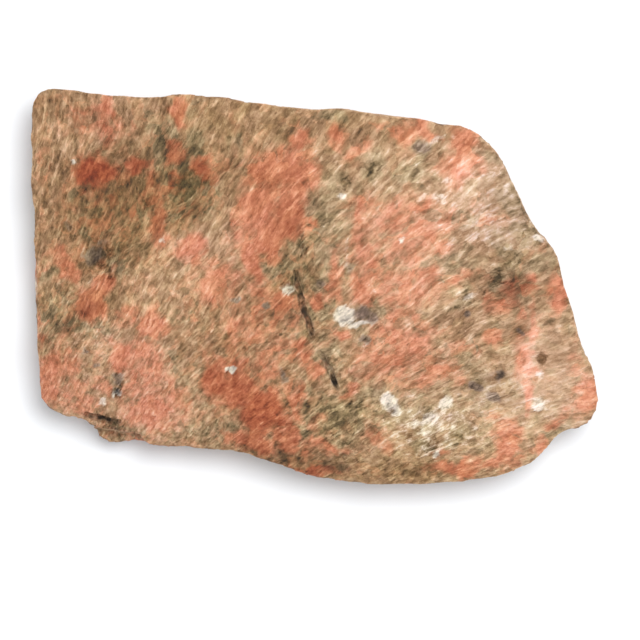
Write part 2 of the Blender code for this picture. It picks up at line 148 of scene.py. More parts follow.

# Patches of each mineral on the upper face, and of painted shade among the dark and brown ones: x, y,
# reach along, reach across, turn, strength
SALMON = [
    (-34.7, 18.8, 2.7, 2.4, 0, 1.3), (-28.6, 19.3, 1.6, 1.3, 20, 1.1),
    (-36.2, 27.1, 3.5, 2.2, 10, 0.58), (-33.0, 25.2, 1.9, 2.6, 0, 0.58),
    (-42.7, 29.7, 1.6, 1.1, 0, 0.36), (-29.1, 25.7, 0.8, 1.1, 0, 0.43),
    (-21.4, 27.8, 1.3, 2.7, 0, 1.1), (-22.7, 21.5, 1.6, 1.3, -20, 0.8),
    (-17.4, 19.4, 1.8, 2.2, 60, 1.1), (-16.3, 21.0, 1.1, 1.1, 0, 0.7),
    (-22.2, 17.5, 0.8, 1.4, 0, 0.8), (-25.9, 18.0, 1.1, 1.0, 0, 0.6),
    (-1.9, 23.9, 2.2, 1.9, 0, 1.1), (-6.2, 18.3, 4.8, 3.2, 40, 1.1), (-3.0, 18.8, 2.9, 4.2, 0, 1.1),
    (-8.3, 13.2, 4.2, 3.2, 60, 1.1), (-3.8, 12.1, 2.7, 4.5, -10, 1.1),
    (-7.4, 8.1, 3.8, 3.2, 20, 1.1), (-10.9, 9.8, 2.2, 3.8, 0, 0.8), (-9.9, 4.1, 1.9, 2.9, 10, 1.1),
    (-24.6, 9.8, 1.4, 4.2, -5, 0.8), (-26.6, 14.0, 1.1, 2.6, 10, 0.4),
    (-19.4, 6.3, 2.4, 2.2, 0, 1.1), (-16.2, 0.7, 4.2, 2.2, 60, 0.8),
    (-41.9, 5.2, 1.9, 1.4, -40, 0.7), (-39.5, 2.8, 1.9, 1.4, -45, 0.85),
    (-33.9, -0.1, 2.6, 1.6, 20, 1.1), (-43.0, 19.9, 1.4, 2.2, 0, 0.4),
    (-28.6, 11.4, 1.6, 1.6, 0, 0.4), (-35.5, -2.5, 2.6, 2.4, 0, 1.1),
    (-43.5, -6.3, 0.8, 2.4, 0, 0.8), (-42.2, -14.5, 2.1, 4.5, 0, 1.0),
    (-38.6, -12.4, 2.2, 2.2, 0, 0.8), (-26.2, -6.0, 2.2, 2.2, 30, 1.1),
    (-29.4, -4.4, 2.6, 1.6, 30, 0.65), (-30.7, -11.1, 1.6, 2.6, 20, 1.1),
    (-27.8, -15.1, 2.4, 3.2, -20, 0.8), (-26.2, -19.6, 4.2, 3.2, 10, 1.1),
    (-33.9, -15.9, 1.6, 1.4, 0, 0.8), (-36.6, -18.6, 2.2, 1.3, -20, 0.8),
    (-20.6, -19.6, 1.6, 1.6, 0, 0.55), (-15.8, -14.0, 2.4, 2.6, 0, 1.1),
    (-12.3, -16.1, 3.2, 4.2, 20, 1.1), (-8.3, -19.9, 3.8, 3.8, 30, 1.1),
    (-10.2, -24.4, 4.2, 1.6, -15, 1.1), (-4.3, -23.8, 1.9, 2.2, 0, 1.1),
    (-7.5, -13.2, 2.6, 1.8, -20, 0.7), (-14.7, 0.4, 3.2, 1.9, 60, 0.8),
    (-12.6, -6.3, 1.4, 2.2, 10, 0.8), (-10.2, 0.1, 1.6, 1.6, 0, 0.6),
    (-5.4, -2.3, 2.6, 1.8, 20, 0.85), (-2.2, -10.3, 2.2, 1.9, 10, 0.8),
    (-0.3, -12.6, 1.9, 2.1, 0, 0.8), (-2.6, -17.8, 1.4, 2.9, 5, 0.8),
    (0.0, -21.8, 1.4, 1.1, 0, 0.5), (3.2, 1.8, 1.4, 4.5, 0, 0.85), (1.0, -2.6, 1.4, 1.1, 0, 0.9),
    (4.0, -7.6, 1.6, 0.8, 0, 0.8), (-19.0, -6.0, 1.6, 1.3, 0, 0.45), (3.7, 24.1, 1.4, 1.3, 20, 0.9),
    (-0.2, 19.4, 1.0, 3.8, 0, 0.7), (6.6, 22.0, 2.9, 1.4, 40, 0.6),
    (10.1, 25.5, 2.9, 1.1, -10, 0.5), (14.1, 25.2, 2.2, 1.9, 0, 0.8),
    (17.9, 25.0, 2.6, 1.3, -15, 0.8), (24.2, 23.4, 2.9, 2.6, -30, 0.95),
    (22.9, 19.3, 2.6, 2.9, 30, 0.9), (25.9, 20.4, 1.3, 2.6, 0, 0.8), (0.3, 10.0, 1.3, 0.8, 0, 0.9),
    (17.1, 12.9, 1.6, 1.4, 0, 0.8), (26.1, 12.9, 1.6, 1.3, 0, 0.48),
    (28.2, 10.5, 2.9, 1.1, 15, 0.59), (21.9, 10.5, 1.9, 1.4, 30, 0.57),
    (7.7, 11.4, 1.3, 3.8, 0, 0.78), (7.5, 6.6, 1.8, 4.0, 0, 0.78), (11.7, 12.7, 3.2, 2.1, 20, 0.72),
    (13.3, 9.2, 3.5, 2.7, 30, 0.8), (14.6, 6.0, 4.2, 2.4, 20, 0.76),
    (18.1, 8.4, 2.7, 2.4, 20, 0.72), (21.0, 6.0, 2.2, 2.1, 0, 0.65), (9.3, 3.4, 2.2, 2.2, 0, 0.8),
    (12.5, 1.8, 2.6, 1.6, 0, 0.72), (17.8, 2.0, 2.2, 1.9, 0, 0.76), (23.4, 1.7, 2.9, 1.4, 20, 0.5),
    (25.9, 7.6, 2.6, 1.1, 20, 0.33), (35.0, 1.8, 1.0, 1.0, 0, 0.67),
    (35.4, -0.6, 1.0, 1.0, 0, 0.59), (31.7, 0.2, 2.6, 1.6, 0, 0.59), (8.2, 0.1, 1.8, 2.9, 0, 0.78),
    (11.4, -0.7, 1.9, 1.9, 0, 0.65), (14.9, -1.2, 4.2, 2.7, 20, 0.65),
    (13.0, -5.5, 3.2, 2.2, 20, 0.65), (16.5, -7.9, 4.2, 2.4, 20, 0.61),
    (13.0, -11.9, 6.1, 2.9, 15, 0.65), (8.5, -13.4, 2.6, 2.1, 0, 0.55),
    (18.6, -14.2, 3.8, 2.1, 20, 0.65), (6.1, -16.7, 1.6, 1.0, 20, 0.8),
    (22.7, -14.3, 1.9, 1.9, 0, 0.61), (23.4, -10.0, 2.6, 1.4, 0, 0.5),
    (29.8, -2.3, 2.2, 1.8, 0, 0.52), (33.0, -5.2, 1.3, 2.2, 0, 0.35),
    (28.8, -7.9, 1.3, 1.6, 0, 0.63), (38.9, -0.7, 1.4, 2.9, 0, 0.7),
    (34.9, -6.8, 0.9, 3.8, -8, 0.65), (33.9, -12.6, 1.4, 4.2, 0, 0.95),
    (34.1, -17.4, 1.1, 2.7, 0, 1.0), (41.8, -11.9, 1.4, 3.2, -12, 0.52),
    (43.4, -17.2, 1.8, 3.5, 0, 0.95), (40.2, -20.6, 3.2, 1.1, 30, 0.55),
    (28.2, -20.7, 1.3, 1.3, 0, 0.51), (31.4, -25.4, 2.1, 3.8, 10, 1.1),
    (29.8, -28.6, 2.2, 1.1, 15, 0.99), (36.2, -25.4, 1.4, 1.9, 30, 0.87),
    (23.0, -28.7, 4.2, 1.3, 5, 0.95), (20.2, -26.2, 1.3, 1.0, 0, 0.7),
    (9.8, -22.8, 1.3, 1.6, 0, 0.75), (11.5, -25.4, 1.3, 1.4, 0, 0.65),
    (0.3, -25.5, 2.9, 1.3, -15, 0.8), (0.2, -29.4, 3.8, 0.8, -12, 0.8),
    (5.0, -25.4, 2.2, 1.1, 0, 0.45), (-1.4, -11.8, 1.3, 2.2, 0, 0.8),
    (-40.6, 2.8, 2.2, 1.4, -40, 0.85), (-36.2, -1.4, 2.6, 1.6, -40, 0.85),
    (-8.6, -3.3, 5.4, 4.2, 0, 0.6), (-3.5, -2.8, 2.2, 3.2, 0, 0.6),
    (-14.7, -0.4, 3.5, 2.6, 0, 0.75), (-43.5, -16.1, 2.9, 3.2, 0, 1.0),
    (-27.4, -12.4, 3.5, 4.2, 0, 0.75), (-24.6, 11.6, 1.3, 5.1, 0, 0.65),
    (-9.4, -9.2, 5.4, 3.5, 0, 0.55), (-27.8, -2.0, 27.2, 33.6, 0, 0.24),
    (-33.6, 27.4, 1.4, 3.2, 0, 0.75), (31.2, -26.0, 1.9, 3.2, 0, 1.2),
    (24.3, -28.6, 1.4, 1.6, 0, 1.1), (39.7, -1.0, 1.4, 2.6, -15, 1.0),
    (43.8, -16.7, 1.6, 2.9, -10, 0.95), (28.8, -8.4, 1.0, 1.0, 0, 0.7),
    (33.0, -4.7, 0.8, 0.8, 0, 0.7), (13.8, -10.0, 6.4, 5.1, 0, 0.62),
    (13.0, 10.0, 7.2, 4.5, 0, 0.6), (-26.2, -18.0, 5.4, 5.4, 0, 0.7),
    (-31.7, -23.1, 1.9, 1.0, 0, 0.5), (-38.2, -17.2, 3.5, 2.2, 0, 0.6),
    (-35.0, -19.3, 2.2, 1.3, 0, 0.6),
]
RUST = [
    (-34.7, 18.8, 2.2, 1.9, 0, 1), (-28.6, 19.3, 1.4, 1.3, 0, 0.7), (-32.6, 27.1, 1.1, 1.1, 0, 0.5),
    (-17.4, 19.3, 1.4, 1.6, 0, 0.35), (-3.8, 11.6, 2.2, 3.8, 0, 0.45),
    (-24.6, 9.8, 1.3, 3.5, 0, 0.5), (-19.4, 6.0, 1.6, 1.4, 0, 0.35),
    (-35.5, -2.5, 2.6, 2.2, 0, 0.36), (-33.9, 0.1, 2.2, 1.3, 0, 0.36),
    (-31.0, 14.0, 7.4, 6.4, -30, 0.6), (-15.8, -14.5, 2.2, 2.2, 0, 0.75),
    (-12.3, -16.7, 2.9, 3.8, 20, 0.75), (-8.3, -19.9, 3.8, 3.5, 30, 0.9),
    (-9.4, -24.1, 4.2, 1.9, -15, 0.6), (7.7, 8.9, 1.4, 5.4, 0, 0.25), (8.3, 0.4, 1.4, 2.6, 0, 0.25),
    (13.0, -11.9, 6.4, 2.9, 15, 0.45), (18.6, -14.2, 3.5, 1.9, 20, 0.45),
    (31.7, -0.1, 3.5, 2.2, 0, 0.75), (29.8, -2.5, 2.2, 1.9, 0, 0.6),
    (31.0, -25.4, 1.9, 3.5, 10, 0.45), (23.0, -28.9, 4.2, 1.3, 5, 0.6),
    (24.2, 22.8, 1.9, 1.9, 0, 0.35), (-2.2, -28.1, 9.6, 1.4, -10, 0.8),
    (9.3, -29.5, 6.4, 1.3, 0, 0.5), (-26.2, -19.6, 3.5, 2.2, 0, 0.3),
    (-30.7, -11.1, 1.3, 1.9, 0, 0.4), (-35.5, 18.8, 2.6, 2.2, 0, 1.2),
    (24.3, -28.6, 0.8, 1.4, 0, 0.9), (-34.2, -2.0, 3.2, 2.9, 0, 0.36),
    (-7.0, 6.8, 2.6, 1.9, 0, 0.5), (-29.1, 25.2, 0.8, 1.0, 0, 0.6), (-11.8, 17.2, 3.8, 4.2, 0, 0.6),
    (-34.4, -2.8, 1.6, 1.6, 0, 0.42),
]
OLIVE = [
    (-25.4, 27.3, 1.6, 2.2, 10, 0.7), (-23.8, 23.8, 1.3, 2.6, -15, 1.2),
    (-25.1, 20.9, 1.3, 2.2, 20, 1.2), (-19.0, 22.5, 1.3, 1.9, 0, 1.2),
    (-20.5, 17.5, 1.1, 1.6, 0, 1.2), (-19.8, 14.5, 3.2, 2.1, 20, 1.2),
    (-19.8, 11.9, 1.6, 1.3, 0, 1.2), (-23.5, 15.1, 1.3, 1.9, 0, 1.2),
    (-26.7, 10.5, 1.0, 2.2, 0, 0.7), (-11.8, 23.6, 1.0, 1.0, 0, 0.6),
    (-18.9, 29.0, 1.6, 1.4, 0, 0.5), (-38.7, 15.1, 1.3, 1.3, 0, 0.5),
    (-39.2, 9.7, 1.0, 1.0, 0, 0.6), (-36.6, 8.9, 0.8, 1.3, 0, 0.7), (-34.9, 5.4, 1.8, 1.5, 0, 1),
    (-32.6, 5.5, 1.3, 1.6, 0, 0.8), (-30.7, 3.3, 1.6, 1.6, 0, 0.7), (-42.9, 2.5, 1.3, 2.2, 0, 0.6),
    (-5.4, 3.6, 2.9, 1.4, 10, 0.7), (-2.1, 5.0, 1.3, 2.9, -10, 0.85),
    (3.4, 14.0, 2.2, 6.4, 5, 0.55), (2.6, 27.6, 2.4, 1.1, -10, 0.9), (9.8, 19.4, 1.8, 1.6, 0, 0.8),
    (17.1, 22.5, 1.9, 1.4, 20, 1), (14.9, 19.1, 1.9, 1.4, 20, 0.8), (5.0, 16.2, 1.0, 1.3, 0, 1),
    (19.5, 17.5, 1.9, 1.3, 20, 0.5), (29.0, 20.7, 2.2, 1.4, -50, 0.7),
    (30.9, 15.6, 2.1, 3.2, -20, 0.6), (23.7, 10.8, 1.9, 1.4, 20, 0.8),
    (32.5, 6.6, 2.6, 1.4, 20, 0.8), (37.3, 4.4, 1.9, 2.1, 0, 0.8),
    (29.8, 5.7, 2.2, 1.8, 20, 0.8), (29.0, 1.4, 1.9, 1.8, 0, 1), (34.6, 3.8, 1.9, 1.3, 20, 0.8),
    (22.1, 3.9, 2.2, 1.1, 20, 0.8), (5.3, 2.8, 1.0, 2.2, 0, 0.9),
    (1.0, 0.4, 1.3, 1.3, 0, 0.9), (-2.4, -0.4, 1.1, 2.6, -15, 0.85),
    (-1.0, -3.3, 1.0, 2.2, -15, 0.85), (2.1, -4.7, 2.2, 2.1, 0, 0.75),
    (2.1, -11.1, 1.9, 2.6, 0, 0.75), (1.3, -21.2, 4.2, 2.1, -5, 0.9),
    (-37.4, -6.2, 2.6, 1.8, 20, 0.9), (-41.1, -7.9, 2.2, 1.3, 30, 0.7),
    (-41.1, -2.3, 2.2, 2.2, 0, 0.6), (-33.9, -7.1, 2.6, 1.7, 0, 0.85),
    (-25.4, -11.1, 2.2, 1.6, 20, 0.6), (-22.6, -11.9, 1.9, 2.1, 0, 0.7),
    (-21.4, -4.7, 2.9, 1.4, 20, 0.45), (-18.2, -2.0, 1.3, 1.3, 0, 0.6),
    (-31.5, -14.8, 1.4, 1.6, 0, 0.85), (-18.2, -15.9, 2.1, 3.2, 0, 0.45),
    (-14.7, -23.1, 2.2, 2.1, 0, 0.55), (-21.4, -22.8, 2.9, 1.3, 0, 0.35),
    (-32.3, -22.5, 2.9, 1.1, -15, 0.9), (-1.4, -23.1, 1.3, 1.9, 0, 0.8),
    (2.6, -18.0, 2.2, 1.8, 0, 0.8), (3.8, -20.6, 3.8, 1.8, -5, 1), (6.9, -19.4, 2.6, 1.3, 10, 0.9),
    (6.9, -22.3, 1.6, 1.3, 0, 0.8), (9.9, -4.6, 1.3, 2.4, 0, 0.95), (8.2, -7.8, 1.6, 1.3, 0, 0.7),
    (24.2, -1.7, 2.6, 1.3, 20, 0.7), (25.3, -8.7, 1.9, 1.6, 20, 0.7),
    (25.9, -11.6, 1.6, 1.4, 0, 0.6), (23.7, -18.0, 2.6, 1.4, 20, 0.6),
    (17.8, -25.4, 1.6, 1.4, 0, 0.8), (22.6, -24.1, 2.6, 1.8, 10, 0.6),
    (38.6, -22.8, 2.6, 1.0, 30, 0.8),
    (-31.4, -15.6, 1.1, 1.6, 0, 0.9), (1.8, 7.6, 2.6, 9.3, 8, 0.75), (4.2, 16.4, 2.6, 2.6, 0, 0.7),
    (7.7, -4.9, 3.2, 2.1, 0, 0.95), (17.0, -19.9, 8.8, 2.9, 0, 0.7),
    (10.6, -18.0, 3.5, 1.4, 0, 0.7), (15.8, 18.5, 2.6, 2.9, 0, 0.8), (33.0, 13.7, 3.5, 3.2, 0, 0.9),
    (34.6, 7.3, 5.4, 4.8, 0, 0.75), (26.2, -18.0, 3.2, 11.2, 0, 0.5),
    (-1.8, -23.9, 1.4, 1.9, 0, 0.8), (-43.8, -4.4, 2.9, 2.2, 0, 0.8),
    (-2.2, -6.8, 1.9, 3.5, 0, 0.6), (23.4, 2.0, 4.2, 3.5, 0, 0.45),
    (29.8, -2.0, 17.6, 27.2, 0, 0.26), (-24.6, 22.0, 1.0, 3.2, 20, 1.2),
    (-20.2, 13.2, 3.2, 2.2, 20, 1.2), (-5.4, 3.1, 1.9, 1.6, 0, 0.8),
    (-1.9, -2.8, 0.8, 3.5, -15, 0.8), (-2.9, 0.7, 1.1, 2.6, 15, 0.8),
    (-1.3, -2.8, 1.0, 2.9, 20, 0.85), (1.3, -10.3, 1.3, 1.6, 0, 0.85),
    (3.2, -13.5, 1.0, 2.2, 20, 0.7), (39.4, -21.8, 2.1, 1.1, 20, 0.8),
    (-2.1, 6.6, 1.1, 3.2, 5, 0.9), (-17.4, -22.8, 3.2, 1.4, 0, 0.5), (2.6, -24.4, 4.8, 1.9, 0, 0.6),
    (-2.2, -18.0, 1.6, 3.2, 0, 0.8), (-3.8, -10.0, 1.9, 1.6, 0, 0.5),
    (-39.0, -5.4, 5.8, 1.3, 34, 0.85), (-21.4, 19.6, 2.1, 2.2, 0, 1.2),
    (-21.8, 14.3, 2.9, 2.2, 30, 1.2), (-24.2, 24.4, 1.3, 2.6, 0, 1.2),
    (-19.8, 12.4, 2.2, 1.9, 0, 1.2), (31.4, 11.6, 7.2, 6.4, 0, 0.38),
    (-31.0, 10.0, 6.4, 4.0, 0, 0.35), (-18.9, 14.8, 3.2, 3.2, 0, 0.9),
    (-17.4, 21.2, 1.4, 1.9, 0, 0.8),
]
QUARTZ = [
    (36.2, -18.8, 1.0, 1.4, -20, 0.75), (19.7, -26.6, 0.8, 0.6, 0, 0.85),
    (-13.1, -13.2, 0.8, 0.6, 0, 1), (-33.9, -18.3, 0.8, 0.8, 0, 0.6),
    (4.6, 14.6, 1.0, 0.6, 10, 0.7), (21.1, 17.0, 1.1, 0.6, 20, 0.6),
    (22.1, 24.1, 2.2, 0.5, 30, 0.42), (14.1, 7.6, 0.6, 0.5, 0, 0.7),
    (36.0, 7.9, 1.1, 0.6, -40, 0.7), (31.0, 6.2, 1.0, 0.5, 0, 0.5),
    (24.5, -1.5, 1.4, 0.6, 20, 0.55), (-38.4, 20.1, 0.5, 0.5, 0, 0.8),
    (-24.3, 7.6, 0.6, 0.6, 0, 0.6), (36.3, -13.8, 0.8, 1.0, 0, 0.5), (9.3, -0.7, 0.8, 1.3, 0, 0.35),
    (12.0, -18.3, 1.3, 1.6, 40, 0.95), (13.3, -19.8, 1.1, 1.0, 0, 0.8),
    (21.1, -18.6, 1.1, 1.6, -30, 0.8), (18.6, -20.9, 2.2, 1.3, 25, 0.72),
    (16.0, -21.8, 1.4, 0.8, 20, 0.6), (17.6, -23.1, 1.3, 0.6, 0, 0.6),
    (29.1, -18.2, 1.4, 1.3, 0, 0.2), (20.3, 14.2, 1.3, 1.6, 60, 0.5),
    (-4.2, -0.1, 1.3, 1.0, 0, 0.65), (19.5, 23.6, 2.2, 0.6, 30, 0.5),
    (22.6, 16.4, 1.0, 0.8, 0, 0.4), (15.4, -17.2, 1.6, 1.0, 0, 0.4),
    (5.0, -4.6, 1.7, 1.5, -20, 1.2), (36.2, -18.6, 1.6, 1.3, 0, 0.6), (5.3, 5.2, 0.6, 4.2, 0, 0.4),
    (8.0, -8.6, 1.0, 1.3, 0, 0.45), (23.7, -1.5, 1.9, 1.1, 20, 0.35),
    (25.0, 13.2, 12.0, 9.6, 0, 0.27), (18.9, -22.8, 8.0, 4.8, 0, 0.42),
    (2.6, 14.0, 2.6, 9.6, 0, 0.16), (-26.2, -6.8, 8.0, 4.0, 0, 0.14),
    (26.6, -18.0, 3.2, 6.4, 0, 0.18), (7.4, -5.8, 2.2, 0.5, 10, 0.95),
    (-31.5, -16.9, 0.8, 0.8, 0, 0.8),
]
GREY = [
    (-35.4, 5.2, 1.8, 1.4, 20, 1.0), (-33.8, 7.1, 1.0, 0.6, 0, 0.6),
    (-12.6, -2.0, 0.8, 0.5, 0, 1.0), (-7.7, -3.0, 0.6, 0.6, 0, 1.0),
    (-4.8, -14.2, 0.6, 1.4, 20, 0.9), (7.7, -4.1, 1.4, 1.1, -10, 1.1),
    (-31.5, -14.6, 1.0, 1.0, 0, 0.85), (-36.5, -10.2, 0.6, 0.6, 0, 0.95),
    (-34.9, -12.4, 0.6, 0.5, 0, 0.85), (5.4, 3.1, 0.6, 1.4, 10, 0.6),
    (8.3, -8.4, 1.0, 0.8, 0, 0.95), (24.5, -4.2, 0.6, 0.6, 0, 1.0),
    (25.8, -15.8, 1.3, 0.7, -20, 1.15), (28.8, -17.5, 1.3, 0.7, -20, 1.15),
    (33.0, -7.1, 0.6, 0.5, 0, 1.0), (17.1, 22.3, 1.4, 1.1, 0, 0.95), (1.0, 0.7, 0.8, 0.8, 0, 0.8),
    (-39.5, 9.8, 0.6, 1.0, 0, 0.75), (9.3, -4.9, 1.0, 1.1, 0, 0.9), (29.8, -14.0, 0.9, 0.7, 0, 1.0),
    (30.6, 11.6, 7.2, 7.2, 0, 0.42), (29.0, -16.4, 5.1, 4.5, 0, 0.4),
    (-32.3, -23.0, 1.6, 0.6, -8, 0.6), (-32.3, -22.6, 1.8, 0.8, -8, 0.35),
]
# Dark grains, and painted shade in the pits, along the fissure and at the ledge
DARK_GRAINS_AND_SHADE = [
    (5.0, 16.4, 0.8, 1.1, 0, 0.77), (31.5, -15.6, 0.6, 0.5, 0, 0.51),
    (36.3, -11.3, 1.0, 1.1, 0, 0.85), (29.3, -4.7, 0.8, 0.6, 0, 0.51),
    (-31.5, -16.9, 0.8, 1.0, 0, 0.59), (-39.2, 9.7, 0.8, 0.8, 0, 0.45),
    (-36.6, 9.0, 0.6, 1.0, 0, 0.42), (-32.3, 5.5, 0.8, 1.1, 0, 0.51),
    (-32.5, 1.4, 0.5, 0.5, 0, 0.77),
    (-36.2, 15.6, 1.4, 0.5, 10, 0.42), (-27.2, 13.2, 0.6, 0.6, 0, 0.42),
    (22.6, -2.8, 0.3, 0.3, 0, 0.77), (-32.6, -22.2, 2.2, 0.8, -12, 0.45),
    (29.6, 0.7, 2.6, 1.8, 10, 0.42), (27.7, -0.4, 1.1, 1.0, 0, 0.36), (35.8, 2.2, 1.6, 1.0, 0, 0.3),
    (-1.9, 7.0, 0.9, 1.9, 0, 0.55), (6.1, 13.2, 0.8, 0.6, 0, 0.6), (18.6, -25.4, 1.6, 1.3, 0, 0.6),
    (23.5, -24.6, 1.1, 1.1, 0, 0.4), (5.9, -18.8, 1.6, 0.6, 0, 0.7), (-4.6, 0.6, 1.0, 0.6, 0, 0.5),
    (-18.7, 23.6, 1.1, 2.2, 0, 0.28), (-20.6, 16.9, 1.6, 1.6, 0, 0.28),
    (-26.2, 12.7, 1.4, 1.4, 0, 0.28), (-32.3, -21.2, 1.9, 1.0, -12, 0.45),
    (-23.7, 28.7, 0.8, 1.3, 0, 0.6), (5.3, 3.1, 0.6, 2.2, 0, 0.25),
    (-31.2, -14.6, 0.8, 1.1, 0, 0.7), (-33.6, 3.4, 1.4, 0.6, -30, 0.7),
    (-39.7, 9.8, 1.1, 0.6, 30, 0.4), (-38.7, 8.2, 0.8, 0.8, 0, 0.5),
    (29.0, -0.4, 1.9, 0.6, 40, 0.3), (-24.6, 24.4, 0.6, 1.6, 0, 0.28),
    (2.6, -24.4, 1.3, 1.3, 0, 0.45), (6.6, -22.8, 1.4, 1.4, 0, 0.5), (-1.8, 7.6, 0.6, 1.9, 5, 0.6),
    (-20.3, 17.7, 1.3, 1.6, 0, 0.28), (-22.7, 13.7, 1.4, 1.3, 0, 0.28),
    (-24.2, 23.6, 0.6, 2.2, 0, 0.28), (-19.4, 22.3, 1.1, 1.6, 0, 0.28),
    (-19.7, 11.4, 1.3, 1.3, 0, 0.28), (-32.6, 5.4, 0.6, 1.4, 30, 0.7),
    (-37.1, -4.6, 1.3, 1.6, 20, 0.2), (-36.5, 6.6, 0.5, 0.6, 0, 0.6),
    (-33.3, 3.1, 1.0, 0.5, 20, 0.6), (9.6, 19.1, 1.2, 1.1, 0, 0.55),
    (-36.8, 15.6, 1.4, 0.5, 0, 0.5), (-19.8, 11.8, 1.4, 1.3, 0, 0.28),
    (-2.2, -1.5, 0.8, 1.9, 15, 0.5), (-3.0, 1.8, 0.6, 1.3, 15, 0.5),
    (-0.5, -6.3, 0.6, 1.3, 20, 0.5), (2.9, -14.6, 0.6, 1.3, 25, 0.5),
    (25.8, -15.8, 1.0, 0.5, -25, 0.5), (29.0, -17.5, 1.1, 0.5, -30, 0.5),
    (29.9, -14.0, 0.7, 0.5, 0, 0.5), (24.5, -4.2, 0.6, 0.5, 0, 0.5), (8.3, -8.4, 0.8, 0.6, 0, 0.6),
    (-36.5, -10.2, 0.5, 0.5, 0, 0.45), (-34.9, -12.4, 0.5, 0.4, 0, 0.5),
    (-5.0, -14.2, 0.4, 0.8, 20, 0.3),
]
# Painted shade in pits, at the fissure's top end, along the ridge at the lower left and in the ledge's
# undercut, and a faint brown stain over the upper-left hollow
SHADE_AND_BROWN_STAIN = [
    (-4.2, -27.3, 1.9, 0.8, -12, 0.55), (3.7, -28.9, 2.2, 0.8, -5, 0.65),
    (15.7, -29.5, 1.6, 0.6, 0, 0.35), (-31.4, 3.1, 1.3, 1.3, 20, 0.3),
    (-29.4, 13.2, 6.4, 4.8, -30, 0.12), (31.0, 0.6, 4.5, 2.2, -15, 0.26),
    (-39.0, -5.5, 5.4, 0.8, 34, 0.22), (-2.2, 9.0, 0.5, 1.4, 12, 0.45),
    (4.2, -28.7, 2.1, 0.5, -4, 0.35),
    (-34.2, -21.0, 2.2, 0.4, -13, 1.6),
]
